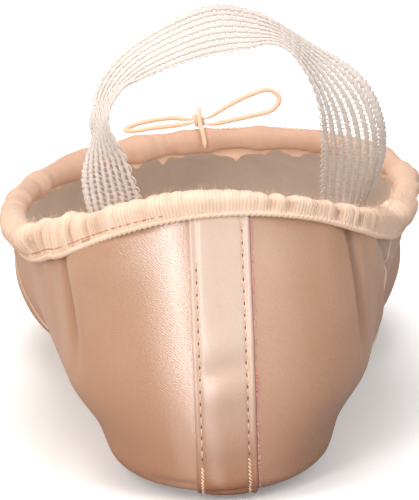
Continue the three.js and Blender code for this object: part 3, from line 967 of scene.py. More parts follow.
SEWING_THREAD = ClothFinish(
    "SewingThread", light=srgb(238, 204, 174), dark=srgb(228, 188, 156), pitch=0.15, bump=0.3,
    depth=0.00003, roughness=0.6, sheen=0.2, specular=0.4)
BINDING_THREAD = ClothFinish(
    "BindingThread", light=srgb(206, 150, 110), dark=srgb(188, 130, 92), pitch=0.15, bump=0.3,
    depth=0.00003, roughness=0.7, sheen=0.2, specular=0.3)
# Painted shade: flat dark patches that stand for the shade in the needle holes.
NEEDLE_HOLE = ClothFinish(
    "NeedleHole", light=srgb(164, 110, 80), dark=srgb(142, 92, 66), pitch=0.3, roughness=0.95,
    sheen=0.0, specular=0.1)
FRAY = ClothFinish(
    "FrayedYarn", light=srgb(240, 190, 178), dark=srgb(218, 150, 140), pitch=0.2, roughness=0.85,
    sheen=0.3, specular=0.2)
SOLE_LEATHER = LeatherFinish(
    "SoleLeather", light=srgb(196, 158, 122), dark=srgb(170, 130, 96), scuff=srgb(140, 104, 78))


class Crease(NamedTuple):
    """A soft fold down the satin: a trough where deep is below nought, a ridge where above."""

    around: float
    lean: float
    top: float
    bottom: float
    width: float
    deep: float
    foot: float = 1.4
    head: Span = (-0.1, 0.4)

    def share(self, around: Array, level: Array, onward: Array) -> Array:
        """How much of the fold there is, from 0 to 1.

        Args:
            around: places around.
            level: levels.
            onward: speed of the surface per unit of around.

        Returns:
            Shares of the fold's depth.
        """
        middle = self.around + self.lean * (self.top - level)
        off = (around - middle) * np.linalg.norm(onward, axis=-1) / self.width
        foot = smoothstep(level, self.bottom, self.bottom + self.foot)
        head = 1 - smoothstep(level, self.top + self.head[0], self.top + self.head[1])
        return np.exp(-off ** 2) * foot * head


class Tuck(NamedTuple):
    """A soft fold or swelling that runs around the satin at one level."""

    level: float
    start: float
    stop: float
    width: float
    deep: float
    soft: float = 0.03

    def share(self, around: Array, level: Array) -> Array:
        """How much of the fold there is at places and levels, from 0 to 1."""
        ends = smoothstep(around, self.start, self.start + self.soft)
        ends = ends * (1 - smoothstep(around, self.stop - self.soft, self.stop))
        return np.exp(-((level - self.level) / self.width) ** 2) * ends


@dataclass
class Upper:
    """Satin outside, lining inside, and the side seams between quarters and vamp."""

    last: Last
    bench: Bench
    seam_left: float = 0.578
    seam_right: float = 0.435
    lean_left: float = -0.002
    lean_right: float = -0.016
    seam_low: float = 2.3
    seam_high: float = 8.45
    seam_steps: int = 90
    seam_radius: float = 0.26
    seam_stand: float = 0.12
    pleat_turns: float = 34.0 / 7.5 * 2.0
    pleat_deep: float = 0.5
    pleat_sharp: float = 0.7
    pleat_centre: float = 0.8
    pleats_toeward: Span = (0.7, 0.86)
    pleats_foot: Span = (2.0, 2.3)
    pleats_head: Span = (2.6, 4.2)
    wave: float = 0.14
    wave_start: float = 300.0
    wave_pitches: Span = (11.0, 17.0)
    wave_foot: Span = (2.2, 3.5)
    cut_left: float = 0.05
    cut_right: float = 0.03
    # Strength of the painted shade in the satin's troughs.
    hollow_shade: float = 0.5
    inside_levels: int = 34
    outside_levels: int = 118
    heel_places: int = 260
    side_places: int = 90

    creases = (
        Crease(-0.312, 0.018, 8.5, 5.0, 2.6, -1.4),
        Crease(-0.255, 0.012, 8.5, 5.2, 3.4, 0.6),
        Crease(-0.385, 0.012, 8.4, 5.2, 4.0, 0.8),
        Crease(-0.2, 0.003, 8.5, 6.3, 8.0, 1.4),
        Crease(-0.56, 0.0, 8.4, 4.6, 15.0, 1.1),
        Crease(0.216, 0.014, 8.6, 5.0, 2.0, -1.4),
        Crease(0.272, 0.03, 8.5, 4.7, 3.4, 1.2),
        Crease(0.33, 0.04, 8.4, 5.0, 2.2, -0.7),
        Crease(0.5, 0.0, 8.5, 5.6, 14.0, 1.2),
        Crease(0.165, 0.004, 8.6, 6.0, 3.0, 0.35))
    tucks = (
        Tuck(3.12, -0.16, -0.04, 0.16, -0.45),
        Tuck(3.45, 0.05, 0.2, 0.22, -0.25),
        Tuck(4.1, -0.22, -0.06, 0.5, 0.2),
        Tuck(3.6, 0.06, 0.6, 1.1, -1.3, 0.18),
        Tuck(5.0, -0.6, -0.1, 0.8, 0.9, 0.16))

    def places(self) -> Array:
        """Places around, closer together over the heel."""
        spans = ((-1.0, -0.5, self.side_places), (-0.5, 0.5, self.heel_places),
                 (0.5, 1.0, self.side_places))
        return np.concatenate([np.linspace(*span, endpoint=False) for span in spans])

    def levels(self, count: int) -> Array:
        """Levels from the turned-in edge to the collar, with a count of them above the bead."""
        last = self.last
        return np.concatenate([[0.0, 1.0], np.linspace(last.bead_ring, last.collar_ring, count)])

    def pleats(self, around: Array, level: Array, point: Array) -> Array:
        """Depth of the pleats that fan out under the toe."""
        toeward = smoothstep(np.abs(around), *self.pleats_toeward)
        toeward = toeward * (1 - smoothstep(level, *self.pleats_head))
        toeward = toeward * smoothstep(level, *self.pleats_foot)
        ahead = point[..., 1] - self.pleat_centre * self.last.length
        fan = np.arctan2(point[..., 0], np.maximum(ahead, 1.0))
        ridges = np.abs(np.sin(fan * self.pleat_turns)) ** self.pleat_sharp
        return self.pleat_deep * toeward * (1 - ridges)

    def relief(self, around: Array, level: Array, onward: Array, point: Array) -> Array:
        """How far the satin stands out of its even surface.

        Args:
            around: places around.
            level: levels.
            onward: speed of the surface per unit of around.
            point: the even surface.

        Returns:
            Distances out of the surface.
        """
        stands = -self.pleats(around, level, point)
        for crease in self.creases:
            stands += crease.deep * crease.share(around, level, onward)
        for tuck in self.tucks:
            stands += tuck.deep * tuck.share(around, level)
        across = point[..., 0] * 1.1 + point[..., 2] * 0.7 + self.wave_start
        onward = point[..., 1] + point[..., 2] * 1.3 + self.wave_start
        waves = soft_noise(across, self.wave_pitches[0], Draw.WAVE_ACROSS)
        waves = waves * soft_noise(onward, self.wave_pitches[1], Draw.WAVE_ALONG)
        return stands + self.wave * waves * smoothstep(level, *self.wave_foot)

    def satin(self, around: Array, level: Array) -> tuple[Array, Array]:
        """Points of the outside, and how far each lies in a trough, which sets its painted shade."""
        last = self.last
        even = last.outside(around, level)
        onward, _, out = last.run(around, np.maximum(level, last.bead_ring))
        stands = self.relief(around, level, onward, even)
        points = even + out * np.where(level > last.bead_ring, stands, 0.0)[..., None]
        troughs = [crease for crease in self.creases if crease.deep < 0]
        return points, -sum(fold.deep * fold.share(around, level, onward) for fold in troughs)

    def lining(self, around: Array, level: Array) -> Array:
        """Points of the inside, no lower than the turned-in edge."""
        last = self.last
        points = last.offset(
            around, np.maximum(level, last.bead_ring), -last.wall(around, level))
        edge = last.outside(around, level)
        edge[..., 2] = 0.0
        points = np.where((level < last.bead_ring)[..., None], edge, points)
        floor = last.pocket_rise + last.quarter_wall + last.sole_rise(points[..., 1])
        points[..., 2] = np.maximum(points[..., 2], floor)
        return points

    def build(self) -> None:
        """Makes the upper."""
        places = self.places()
        satin, fold_shade = self.satin(
            *np.meshgrid(places, self.levels(self.outside_levels), indexing="ij"))
        lining = self.lining(
            *np.meshgrid(places, self.levels(self.inside_levels), indexing="ij"))
        section = np.concatenate([satin, lining[:, ::-1]], axis=1)
        rows, cols = section.shape[:2]
        column = np.tile(np.arange(cols), rows)
        finish_of = ((column >= satin.shape[1] - 1) & (column < cols - 1)).astype(int)
        form = Form(
            section.reshape(-1, 3), grid_quads(rows, cols, True, True), self.cloth(section, places))
        obj = self.bench.piece(
            "upper_satin", form, [SATIN.material(), LINING.material()], Slot.SATIN, ("upper",),
            finish_of)
        # Painted shade in the satin's troughs; the lining gets none.
        fold_shade = np.concatenate([fold_shade, np.zeros(lining.shape[:2])], axis=1)
        shade_hollows(obj, fold_shade * self.hollow_shade)
        self.side_seams()

    def cloth(self, section: Array, places: Array) -> Array:
        """Cloth coordinates of each face, cut at the side seams.

        Args:
            section: the upper's points, a row per place around.
            places: the places around.

        Returns:
            Coordinates in millimetres, shaped (faces, 4, 2).
        """
        rows, cols = section.shape[:2]
        steps = np.linalg.norm(np.roll(section, -1, axis=0) - section, axis=2)
        run = np.concatenate([np.zeros((1, cols)), np.cumsum(steps, axis=0)])
        middle = np.argmin(np.abs(places))
        from_back = run - run[middle]
        from_toe = np.where(np.arange(rows + 1)[:, None] > middle, run - run[-1], run)
        rise = np.linalg.norm(np.diff(section, axis=1, append=section[:, :1]), axis=2)
        rise = np.concatenate([np.zeros((rows, 1)), np.cumsum(rise, axis=1)], axis=1)
        rise = np.concatenate([rise, rise[:1]])
        row, col = np.divmod(np.arange(rows * cols), cols)
        quarter = places[row] > self.cut_left - self.seam_left
        quarter = quarter & (places[row] < self.seam_right - self.cut_right)
        corners = []
        for r, c in ((row + down, col + right) for down, right in CORNERS):
            u = np.where(quarter, from_back[r, c % cols], from_toe[r, c % cols])
            corners.append(np.stack([u, rise[r, c]], axis=-1))
        return np.stack(corners, axis=1)

    def side_seams(self) -> None:
        """Makes the fine raised seams between quarters and vamp."""
        level = np.linspace(self.seam_low, self.seam_high, self.seam_steps)
        lines, outs = [], []
        seams = ((-1, self.seam_left, self.lean_left), (1, self.seam_right, self.lean_right))
        for side, top, lean in seams:
            around = side * (top + lean * (self.last.collar_ring - level))
            onward, _, out = self.last.run(around, level)
            even = self.last.outside(around, level)
            stands = self.relief(around, level, onward, even)
            lines.append(even + out * (stands + self.seam_stand)[:, None])
            outs.append(out)
        radius = self.seam_radius * tapered(self.seam_steps)
        form = tubes(np.stack(lines), np.stack(outs), radius[None, :, None], 6)
        self.bench.piece("side_seams", form, [WELT_COTTON.material()], Slot.SATIN)


@dataclass
class Stitch:
    """Sizes of one row of machine stitches."""

    length: float
    pitch: float
    radius: float
    slant: float
    hole: float
    arch: float = 0.12
    sunk: float = 0.04
    hole_stretch: float = 4.2

    def row(self, line: Array, out: Array) -> tuple[Form, Form]:
        """Stitches and needle holes along a line.

        Args:
            line: points of the line on the surface.
            out: the surface's outward direction at each point.

        Returns:
            The stitches and the holes.
        """
        run = along(line)
        count = int(run[-1] / self.pitch)
        middle = (np.arange(count) + 0.5) * self.pitch
        share = np.linspace(-0.5, 0.5, 7)
        place = middle[:, None] + share * self.length
        up = unit(read_along(run, out, place))
        onward = unit(read_along(run, line, place + 0.1) - read_along(run, line, place - 0.1))
        arch = self.arch * np.cos(share * math.pi) - self.sunk
        points = (read_along(run, line, place) + up * arch[None, :, None]
                  + np.cross(up, onward) * (share * self.slant)[None, :, None])
        taper = np.sqrt(np.clip(1 - (2 * share) ** 4, 0.02, 1))
        threads = tubes(points, up, self.radius * taper[None, :, None], 6)
        # The holes are flat dark patches of painted shade where the needle went through.
        share = np.linspace(-0.5, 0.5, 4) * self.hole_stretch
        place = (middle + self.pitch / 2)[:, None] + share * self.hole
        points, up = read_along(run, line, place), unit(read_along(run, out, place))
        flat = self.hole * np.array([1.0, 1.0, 0.3, 1.0, 1.0, 0.3])
        ends = np.array([0.25, 1.0, 1.0, 0.25])[None, :, None]
        turned = np.cross(unit(np.gradient(points, axis=1)), up)
        return threads, tubes(points + up * 0.005, turned, flat[None, None, :] * ends, 6)


class Dip(NamedTuple):
    """A valley of the casing or a tip of the raw edge: its x, its width and its depth."""

    x: float
    width: float
    deep: float


@dataclass
class CollarBinding:
    """Gathered casing over the collar's edge, its welt, stitches, fuzz and raw lining edge."""

    last: Last
    bench: Bench
    leg: float = 3.2
    top: float = 2.1
    half: float = 2.6
    hem: float = 2.15
    fit: float = 0.75
    stations: int = 520
    shown: int = 25
    ribs: int = 2340
    rib_pitch: float = 0.68
    rib_deep: float = 0.2
    rib_wander: float = 0.35
    ribs_end: Span = (0.4, 0.6)
    lumps_end: Span = (0.5, 0.68)
    lump_pitch: float = 3.0
    slack_deep: float = 0.5
    cloth_rise: float = 0.55
    # Strength of the painted shade in the casing's valleys.
    valley_shade: float = 0.62
    knit_end: float = 0.47
    welt_radius: float = 0.52
    welt_pitch: float = 1.1
    welt_steps: int = 1300
    welt_sides: int = 9
    welt_drop: float = 0.3
    welt_off: float = 0.7
    welt_twist: float = 0.28
    stitch_drop: float = 2.2
    stitch_span: Span = (-0.6, -0.06)
    hairs: int = 2000
    hair_radius: float = 0.034
    hair_end: float = 0.55
    hair_margin: int = 6
    hair_spread: float = 0.55
    hair_bend: float = 0.5
    hair_lengths: Span = (0.3, 1.7)
    hair_steps: int = 5
    raw_start: float = 0.62
    raw_steps: int = 420
    raw_rows: int = 7
    raw_thickness: float = 0.22
    raw_tucked: float = 0.7
    raw_off: float = 0.12
    raw_drops: Span = (0.1, 3.4)

    hangs = ((-0.6, 1.0), (-0.3, 1.1), (-0.14, 0.88), (0.04, 0.7), (0.12, 0.7), (0.22, 0.86),
             (0.4, 1.0))
    swells = ((-0.6, 1.0), (-0.3, 1.7), (-0.14, 1.15), (0.0, 0.9), (0.1, 0.6), (0.2, 0.75),
              (0.4, 1.0))
    dips = (
        Dip(9.8, 1.1, 0.7), Dip(13.4, 1.2, 0.9), Dip(18.6, 2.0, 0.4), Dip(22.6, 1.3, 1.2),
        Dip(26.6, 1.1, 1.1), Dip(29.4, 1.0, 0.9), Dip(-14.0, 1.2, 0.4), Dip(-22.5, 1.4, 0.8),
        Dip(-24.4, 0.8, 0.9), Dip(-27.2, 0.8, 1.2), Dip(-29.6, 0.9, 1.3), Dip(-31.1, 1.1, 1.4),
        Dip(-32.6, 1.6, 1.4), Dip(-34.0, 1.8, 1.4), Dip(-35.3, 1.8, 1.1))
    tips = (
        Dip(-14.6, 1.5, 1.2), Dip(-8.9, 1.4, 1.7), Dip(-6.0, 3.0, 0.6), Dip(7.0, 1.3, 1.7),
        Dip(5.0, 5.5, 1.2), Dip(12.5, 2.5, 0.8), Dip(19.0, 3.5, 0.7))

    def section(self) -> Array:
        """Rounded section: out from the middle of the wall, and up from its edge."""
        slot = self.last.quarter_wall / 2 + self.fit
        corners = np.array([
            (self.hem, -self.leg), (self.hem + 0.12, 0.5 * self.top - self.leg),
            (self.half, -0.2), (0.82 * self.half, 0.62 * self.top), (0.0, self.top),
            (-0.82 * self.half, 0.62 * self.top), (-self.half, -0.2),
            (-self.hem - 0.1, 0.4 * self.top - self.leg), (-self.hem, -self.leg)])
        flat = np.concatenate([corners, np.zeros((len(corners), 1))], axis=1)
        curve = spline(flat, np.linspace(0, 1, self.shown))[:, :2]
        tucked = np.array([
            (-slot, -self.leg), (-slot, self.fit), (slot, self.fit), (slot, -self.leg)])
        return np.concatenate([curve, tucked])

    def stretch(self) -> tuple[Array, float]:
        """Even stations around the collar, and its length."""
        fine = np.linspace(-1, 1, 4001)
        run = along(self.last.outside(fine, self.last.collar_ring))
        place = np.linspace(0, run[-1], self.stations, endpoint=False)
        return np.interp(place, run, fine), run[-1]

    @staticmethod
    def spread(around: Array, count: int) -> Array:
        """Even places around the collar, any number of them, from its stations."""
        return np.interp(np.linspace(0, len(around), count, endpoint=False),
                         np.arange(len(around) + 1), np.append(around, around[0] + 2))

    def hang(self, around: Array) -> Array:
        """How deep the casing hangs at places around, as a share of its leg."""
        return through(self.hangs, around)

    def surface(self, around: Array, across: Array, above: Array) -> Array:
        """Points of the binding at places around, out from the wall's middle, up from its edge."""
        around, across, above = np.broadcast_arrays(around[:, None], across, above)
        above = above * np.where(above > 0, through(self.swells, around), self.hang(around))
        onward, _, out = self.last.run(around, self.last.collar_ring)
        up = unit(np.cross(out, onward))
        slid, level = self.last.below_collar(around, np.maximum(-above, 0.0))
        base = self.last.offset(slid, level, across - self.last.quarter_wall / 2)
        return base + up * np.maximum(above, 0.0)[..., None]

    def rib_run(self, run: Array) -> Array:
        """Distance along the casing as its uneven ribs count it."""
        return run + self.rib_wander * soft_noise(run, 2.3, Draw.RIB_PLACE)

    def valleys(self, around: Array, run: Array) -> Array:
        """Depth of the valleys between the casing's lumps, at places and distances round it."""
        near = np.linspace(-0.6, 0.6, 601)
        edge = self.last.outside(near, self.last.collar_ring)[:, 0]
        deep = np.zeros(run.shape)
        for dip in self.dips:
            at = np.interp(np.interp(dip.x, edge, near), around, run)
            deep = deep + dip.deep * np.exp(-((run - at) / dip.width) ** 2)
        return deep

    def lumps(self, around: Array, run: Array) -> Array:
        """Height of the loose lumps of cloth, larger beside the heel than at the back."""
        place = np.abs(around)
        left = smoothstep(-around, 0.0, 0.1)
        beside = smoothstep(place, 0.1, 0.24) * (1 - 0.65 * smoothstep(place, 0.48, 0.75))
        beside = beside * np.maximum(left, 0.35 + 0.65 * smoothstep(place, 0.3, 0.36))
        wander = run + 1.1 * soft_noise(run, 4.1, Draw.LUMP_NEAR)
        wander = wander + 1.6 * soft_noise(run, 13.0, Draw.LUMP_FAR)
        lump = np.abs(np.sin(math.pi * wander / self.lump_pitch)) ** 0.85 - 0.66
        lump = lump * (0.62 + 0.38 * soft_noise(run, 3.0, Draw.LUMP_HEIGHT))
        lump = lump * (1 - 0.75 * smoothstep(place, *self.lumps_end))
        broad = soft_noise(run, 5.2, Draw.LUMP_BROAD)
        return (0.3 + 0.9 * beside) * lump + (0.2 + 0.3 * beside) * broad

    def gathers(self, around: Array, run: Array, height: Array) -> Array:
        """How far the gathered cloth puffs out.

        Args:
            around: places around the collar.
            run: distances along it.
            height: share of the way up the casing, 0 at its stitched edges.

        Returns:
            Distances out of the casing, a row per place.
        """
        place = np.abs(around)
        rib = np.abs(np.cos(math.pi * self.rib_run(run) / self.rib_pitch)) ** 0.6 - 0.7
        rib = rib * (0.65 + 0.35 * soft_noise(run, 3.7, Draw.RIB_HEIGHT))
        rib = rib * (1 - smoothstep(place, *self.ribs_end))
        far = smoothstep(place, *self.lumps_end)[:, None]
        slack = soft_noise(run[:, None] + 4.5 * height, 3.6, Draw.SLACK)
        stands = (self.lumps(around, run) - self.valleys(around, run))[:, None]
        stands = stands + self.slack_deep * far * slack
        rib_height = self.rib_deep * np.minimum(1, 2.2 * height) ** 0.5
        return stands * np.sqrt(height) + rib[:, None] * rib_height

    def outward(self, even: Array) -> Array:
        """Directions out of the casing's even rows."""
        onward = np.roll(even, -1, axis=0) - np.roll(even, 1, axis=0)
        upward = np.roll(even, -1, axis=1) - np.roll(even, 1, axis=1)
        out = unit(np.cross(upward, onward))
        middle = even[:, :self.shown].mean(axis=1, keepdims=True)
        away = ((even - middle) * out).sum(-1, keepdims=True)
        return np.where(away < 0, -out, out)

    def build(self) -> None:
        """Makes the casing and what is sewn to it."""
        stations, total = self.stretch()
        around = self.spread(stations, self.ribs)
        points = self.casing(stations, around, total)
        self.welt(stations, total)
        self.stitches()
        self.fuzz(points[:, :self.shown], around)
        self.raw_edge()

    def casing(self, stations: Array, around: Array, total: float) -> Array:
        """Makes the gathered casing.

        Args:
            stations: even places around the collar.
            around: the finer places that its ribs need.
            total: the collar's length.

        Returns:
            Its points, a row per fine place.
        """
        section = self.section()
        base = self.surface(stations, section[None, :, 0], section[None, :, 1])
        run = np.linspace(0, total, self.ribs, endpoint=False)
        place = run / total * self.stations
        i = np.floor(place).astype(int)
        t = (place - i)[:, None, None]
        even = base[i] * (1 - t) + base[(i + 1) % self.stations] * t
        share = np.linspace(0, 1, self.shown)
        shown_height = np.sin(share * math.pi).clip(0)
        height = np.append(shown_height, np.zeros(len(section) - self.shown))
        puff = self.gathers(around, run, height)
        points = even + self.outward(even) * puff[..., None]
        rows, cols = points.shape[:2]
        row, col = np.divmod(np.arange(rows * cols), cols)
        cloth = np.stack([
            np.stack([self.rib_run((row + a) * total / rows), (col + b) * self.cloth_rise], axis=-1)
            for a, b in CORNERS], axis=1)
        form = Form(points.reshape(-1, 3), grid_quads(rows, cols, True, True), cloth)
        finish_of = (np.abs(around[row]) > self.knit_end).astype(int)
        obj = self.bench.piece(
            "binding_casing", form, [BINDING_KNIT.material(), BINDING_CLOTH.material()],
            Slot.BINDING, ("collar_binding",), finish_of)
        # Painted shade in the valleys, strongest low on the casing's outer face.
        low = np.zeros(cols)
        low[:self.shown] = shown_height ** 0.5 * (1 - smoothstep(share, 0.26, 0.5))
        shade_hollows(obj, self.valley_shade * self.valleys(around, run)[:, None] * low)
        return points

    def welt(self, stations: Array, total: float) -> None:
        """Makes the twisted cord along the casing's lower edge."""
        around = self.spread(stations, self.welt_steps)
        slid, level = self.last.below_collar(around, self.leg * self.hang(around) + self.welt_drop)
        line = self.last.offset(slid, level, self.welt_radius + self.welt_off)
        out = self.last.run(slid, level)[2]
        angle = angles(self.welt_sides)
        turns = round(total / self.welt_pitch)
        share = np.linspace(0, 1, self.welt_steps, endpoint=False)
        twist = np.cos(2 * angle[None, :] - 2 * math.pi * turns * share[:, None])
        radius = self.welt_radius * (1 + self.welt_twist * twist)
        form = tubes(line[None], out[None], radius[None], self.welt_sides, closed=True)
        self.bench.piece("binding_welt", form, [WELT_COTTON.material()], Slot.BINDING)

    def stitches(self) -> None:
        """Makes the row of stitches above the welt."""
        around = np.linspace(*self.stitch_span, 500)
        slid, level = self.last.below_collar(around, self.stitch_drop * self.hang(around))
        out = self.last.run(slid, level)[2]
        line = self.last.offset(slid, level, self.hem + 0.1 - self.last.quarter_wall / 2)
        stitch = Stitch(length=1.0, pitch=1.75, radius=0.14, slant=0.0, hole=0.07)
        threads, holes = stitch.row(line, out)
        finish_of = np.repeat([0, 1], [len(threads.faces), len(holes.faces)])
        self.bench.piece(
            "binding_stitches", joined(threads, holes),
            [BINDING_THREAD.material(), NEEDLE_HOLE.material()], Slot.BINDING, (), finish_of)

    def fuzz(self, casing: Array, around: Array) -> None:
        """Makes the fine hairs that stand off the casing's fold.

        Args:
            casing: points of the casing that show, a row per place around.
            around: the places around the collar.
        """
        random = np.random.default_rng(SEED + Draw.HAIRS)
        row = random.choice(np.flatnonzero(np.abs(around) < self.hair_end), self.hairs)
        col = random.integers(self.hair_margin, casing.shape[1] - self.hair_margin, self.hairs)
        root = casing[row, col]
        middle = casing.mean(axis=1)[row]
        out = unit(unit(root - middle) + random.normal(0, self.hair_spread, root.shape))
        bend = random.normal(0, self.hair_bend, root.shape)
        length = random.uniform(*self.hair_lengths, self.hairs)[:, None, None]
        share = np.linspace(0, 1, self.hair_steps)[None, :, None]
        lines = root[:, None] + length * (out[:, None] * share + bend[:, None] * share ** 2 * 0.5)
        taper = np.linspace(1, 0.3, self.hair_steps)[None, :, None]
        ref = np.broadcast_to(np.array([0.31, 0.87, 0.38]), lines.shape)
        form = tubes(lines, ref, self.hair_radius * taper, 3)
        self.bench.piece("binding_fuzz", form, [WELT_COTTON.material()], Slot.BINDING)

    def raw_edge(self) -> None:
        """Makes the raw edge of lining that shows below the casing inside the throat."""
        steps, rows = self.raw_steps, self.raw_rows
        around = np.concatenate([np.linspace(self.raw_start, 1, steps // 2, endpoint=False),
                                 np.linspace(-1, -self.raw_start, steps // 2)])
        run = along(self.last.outside(around, self.last.collar_ring))
        foot = self.surface(around, np.array([[-self.hem]]), np.array([[-self.leg]]))[:, 0]
        ragged = 0.35 + 0.6 * soft_noise(run, 2.6, Draw.RAW_COARSE)
        ragged = ragged + 0.35 * soft_noise(run, 0.9, Draw.RAW_FINE)
        for tip in self.tips:
            off = np.abs(foot[:, 0] - tip.x) / tip.width
            ragged = ragged + tip.deep * np.clip(1 - off, 0, None)
        ragged = np.clip(ragged, *self.raw_drops)
        ahead = np.gradient(foot, axis=0)
        inward = unit(np.stack([-ahead[:, 1], ahead[:, 0], np.zeros(steps)], axis=-1))
        inward = np.where((inward * foot).sum(-1, keepdims=True) > 0, -inward, inward)
        fall = np.linspace(0, 1, rows) * (self.raw_tucked + ragged[:, None]) - self.raw_tucked
        front = foot[:, None] + self.raw_off * inward[:, None]
        front = front - fall[..., None] * np.array([0.0, 0.0, 1.0])
        back = front - self.raw_thickness * inward[:, None]
        section = np.concatenate([front, back[:, ::-1]], axis=1)
        faces = grid_quads(steps, 2 * rows, False, True)
        cloth = np.stack([np.repeat(run, 2 * rows), np.tile(np.arange(2 * rows), steps)], axis=-1)
        form = Form(section.reshape(-1, 3), faces, cloth[faces])
        self.bench.piece("lining_raw_edge", form, [RAW_EDGE.material()], Slot.LINING)


class Trough(NamedTuple):
    """A fold across the tape, a trough where deep is below nought: its level, width and depth."""

    level: float
    width: float
    deep: float


@dataclass
class BackStrip:
    """Satin tape over the back seam, with its two rows of stitches and a corded edge."""

    last: Last
    bench: Bench
    width: float = 11.7
    thickness: float = 0.5
    off: float = 0.08
    rounding: float = 0.7
    crown: float = 0.18
    crown_half: float = 4.2
    stitch_sink: float = 0.2
    cord_rise: float = 0.3
    groove: float = 0.45
    fold_slant: float = 0.012
    fold_half: float = 5.4
    fold_edge: float = 0.35
    under: float = 0.06
    under_step: int = 6
    top_level: float = 8.62
    left_row: float = -4.6
    right_row: float = 4.25
    left_high: float = 7.5
    right_high: float = 8.45
    left_low: float = 3.7
    right_low: float = 3.9
    rows_end: float = 2.7
    cord_at: float = 5.2
    columns: int = 75
    rows: int = 240
    line_steps: int = 600
    fray_count: int = 420
    fray_radius: float = 0.085
    fray_steps: int = 4
    fray_lengths: Span = (0.15, 0.7)
    fray_spread: float = 0.5
    fray_stands: Span = (-0.1, 0.5)

    folds = (
        Trough(5.9, 0.25, 0.2), Trough(5.52, 0.17, -0.55), Trough(5.16, 0.24, 0.5),
        Trough(3.02, 0.09, -0.4), Trough(3.3, 0.16, 0.2), Trough(3.8, 0.3, -0.2),
        Trough(7.1, 0.5, -0.12))

    def stands(self, x: Array, level: Array) -> Array:
        """How far the tape's face stands off the upper."""
        edge = np.clip((self.width / 2 - np.abs(x)) / self.rounding, 0, 1)
        face = self.off + self.thickness * np.sqrt(1 - (1 - edge) ** 2)
        for row in (self.left_row, self.right_row):
            face = face - self.stitch_sink * np.exp(-((x - row) / self.groove) ** 2)
        face = face + self.cord_rise * np.exp(-((x - self.cord_at) / self.groove) ** 2)
        face = face + self.crown * np.clip(1 - (x / self.crown_half) ** 2, 0, 1)
        share = np.clip(1 - (x / self.fold_half) ** 2, 0, 1)
        share = self.fold_edge + (1 - self.fold_edge) * share
        for fold in self.folds:
            off = (level - fold.level - self.fold_slant * x) / fold.width
            face = face + fold.deep * share * np.exp(-off ** 2)
        return np.maximum(face, 2 * self.under)

    def build(self) -> None:
        """Makes the tape, its stitches and its frayed edge."""
        x = np.linspace(-self.width / 2, self.width / 2, self.columns)
        level = np.linspace(self.last.bead_ring, self.top_level, self.rows)
        x, level = np.meshgrid(x, level, indexing="xy")
        place = self.last.place_at(x, level)
        face = self.last.offset(place, level, self.stands(x, level))
        some = slice(None, None, self.under_step)
        under = self.last.offset(place[:, some], level[:, some], self.under)
        section = np.concatenate([face, under[:, ::-1]], axis=1)
        faces = grid_quads(self.rows, section.shape[1], False, True)[:, ::-1]
        down = along(face[:, self.columns // 2])
        wide = np.concatenate([x[0], x[0, some][::-1]])
        cloth = np.stack([np.tile(wide, self.rows), np.repeat(down, len(wide))], axis=-1)
        form = Form(section.reshape(-1, 3), faces, cloth[faces])
        self.bench.piece(
            "back_tape", form, [TAPE_SATIN.material()], Slot.SATIN, ("back_strip",))
        self.stitches()
        self.fray()

    def line(self, x: float, top: float, bottom: float) -> tuple[Array, Array]:
        """Points down the tape at one distance from its middle, and the outward directions."""
        level = np.linspace(top, bottom, self.line_steps)
        wide = np.full(self.line_steps, x)
        place = self.last.place_at(wide, level)
        return (self.last.offset(place, level, self.stands(wide, level)),
                self.last.run(place, level)[2])

    def stitches(self) -> None:
        """Makes the two rows of stitches, with closer overcast stitches at the foot of each."""
        overcast = Stitch(0.95, 0.8, 0.2, 0.55, 0.05)
        rows = [
            Stitch(1.5, 2.35, 0.16, 0.05, 0.18).row(
                *self.line(self.left_row, self.left_high, self.left_low)),
            Stitch(1.45, 2.3, 0.16, 0.25, 0.18).row(
                *self.line(self.right_row, self.right_high, self.right_low))]
        low = [
            overcast.row(*self.line(self.left_row, self.left_low, self.rows_end)),
            overcast.row(*self.line(self.right_row, self.right_low, self.rows_end))]
        parts = [
            joined(*(row[0] for row in rows)), joined(*(row[1] for row in rows)),
            joined(*(row[0] for row in low))]
        finish_of = np.repeat([0, 1, 2], [len(part.faces) for part in parts])
        self.bench.piece(
            "back_tape_stitches", joined(*parts),
            [SEWING_THREAD.material(), NEEDLE_HOLE.material(), WELT_COTTON.material()], Slot.SATIN,
            (), finish_of)

    def fray(self) -> None:
        """Makes the short frayed ends along the tape's right edge."""
        random = np.random.default_rng(SEED + Draw.FRAY)
        count = self.fray_count
        line, out = self.line(
            self.width / 2 + 0.05, self.top_level - 0.1, self.last.bead_ring + 0.6)
        pick = random.integers(10, self.line_steps - 40, count)
        root, out = line[pick], out[pick]
        onward = unit(np.gradient(line, axis=0))[pick]
        side = np.cross(out, onward)
        side = side * np.sign(side[:, :1])
        length = random.uniform(*self.fray_lengths, count)[:, None, None]
        tip = (side * 0.8 + onward * random.normal(0, self.fray_spread, (count, 1))
               + out * random.uniform(*self.fray_stands, (count, 1)))
        share = np.linspace(0, 1, self.fray_steps)[None, :, None]
        curl = onward * random.normal(0, self.fray_spread, (count, 1))
        lines = root[:, None] + length * (tip[:, None] * share + curl[:, None] * share ** 2)
        radius = self.fray_radius * np.linspace(1, 0.7, self.fray_steps)[None, :, None]
        form = tubes(lines, np.repeat(out[:, None], self.fray_steps, axis=1), radius, 5)
        self.bench.piece("back_tape_fray", form, [FRAY.material()], Slot.SATIN)


class Fold(NamedTuple):
    """Middle of the elastic at one fold, the heading of its width and how much that rises."""

    x: float
    y: float
    z: float
    turn: float
    tilt: float


class Course(NamedTuple):
    """How the elastic runs: its middle, the directions of width and face, and distances along."""

    middle: Array
    across: Array
    face: Array
    run: Array

    def at(self, place: Array, offset: Array) -> tuple[Array, Array]:
        """Points at distances along and from the middle, and the face directions there."""
        across = read_along(self.run, self.across, place)
        points = read_along(self.run, self.middle, place) + across * offset[None, :, None]
        return points, read_along(self.run, self.face, place)


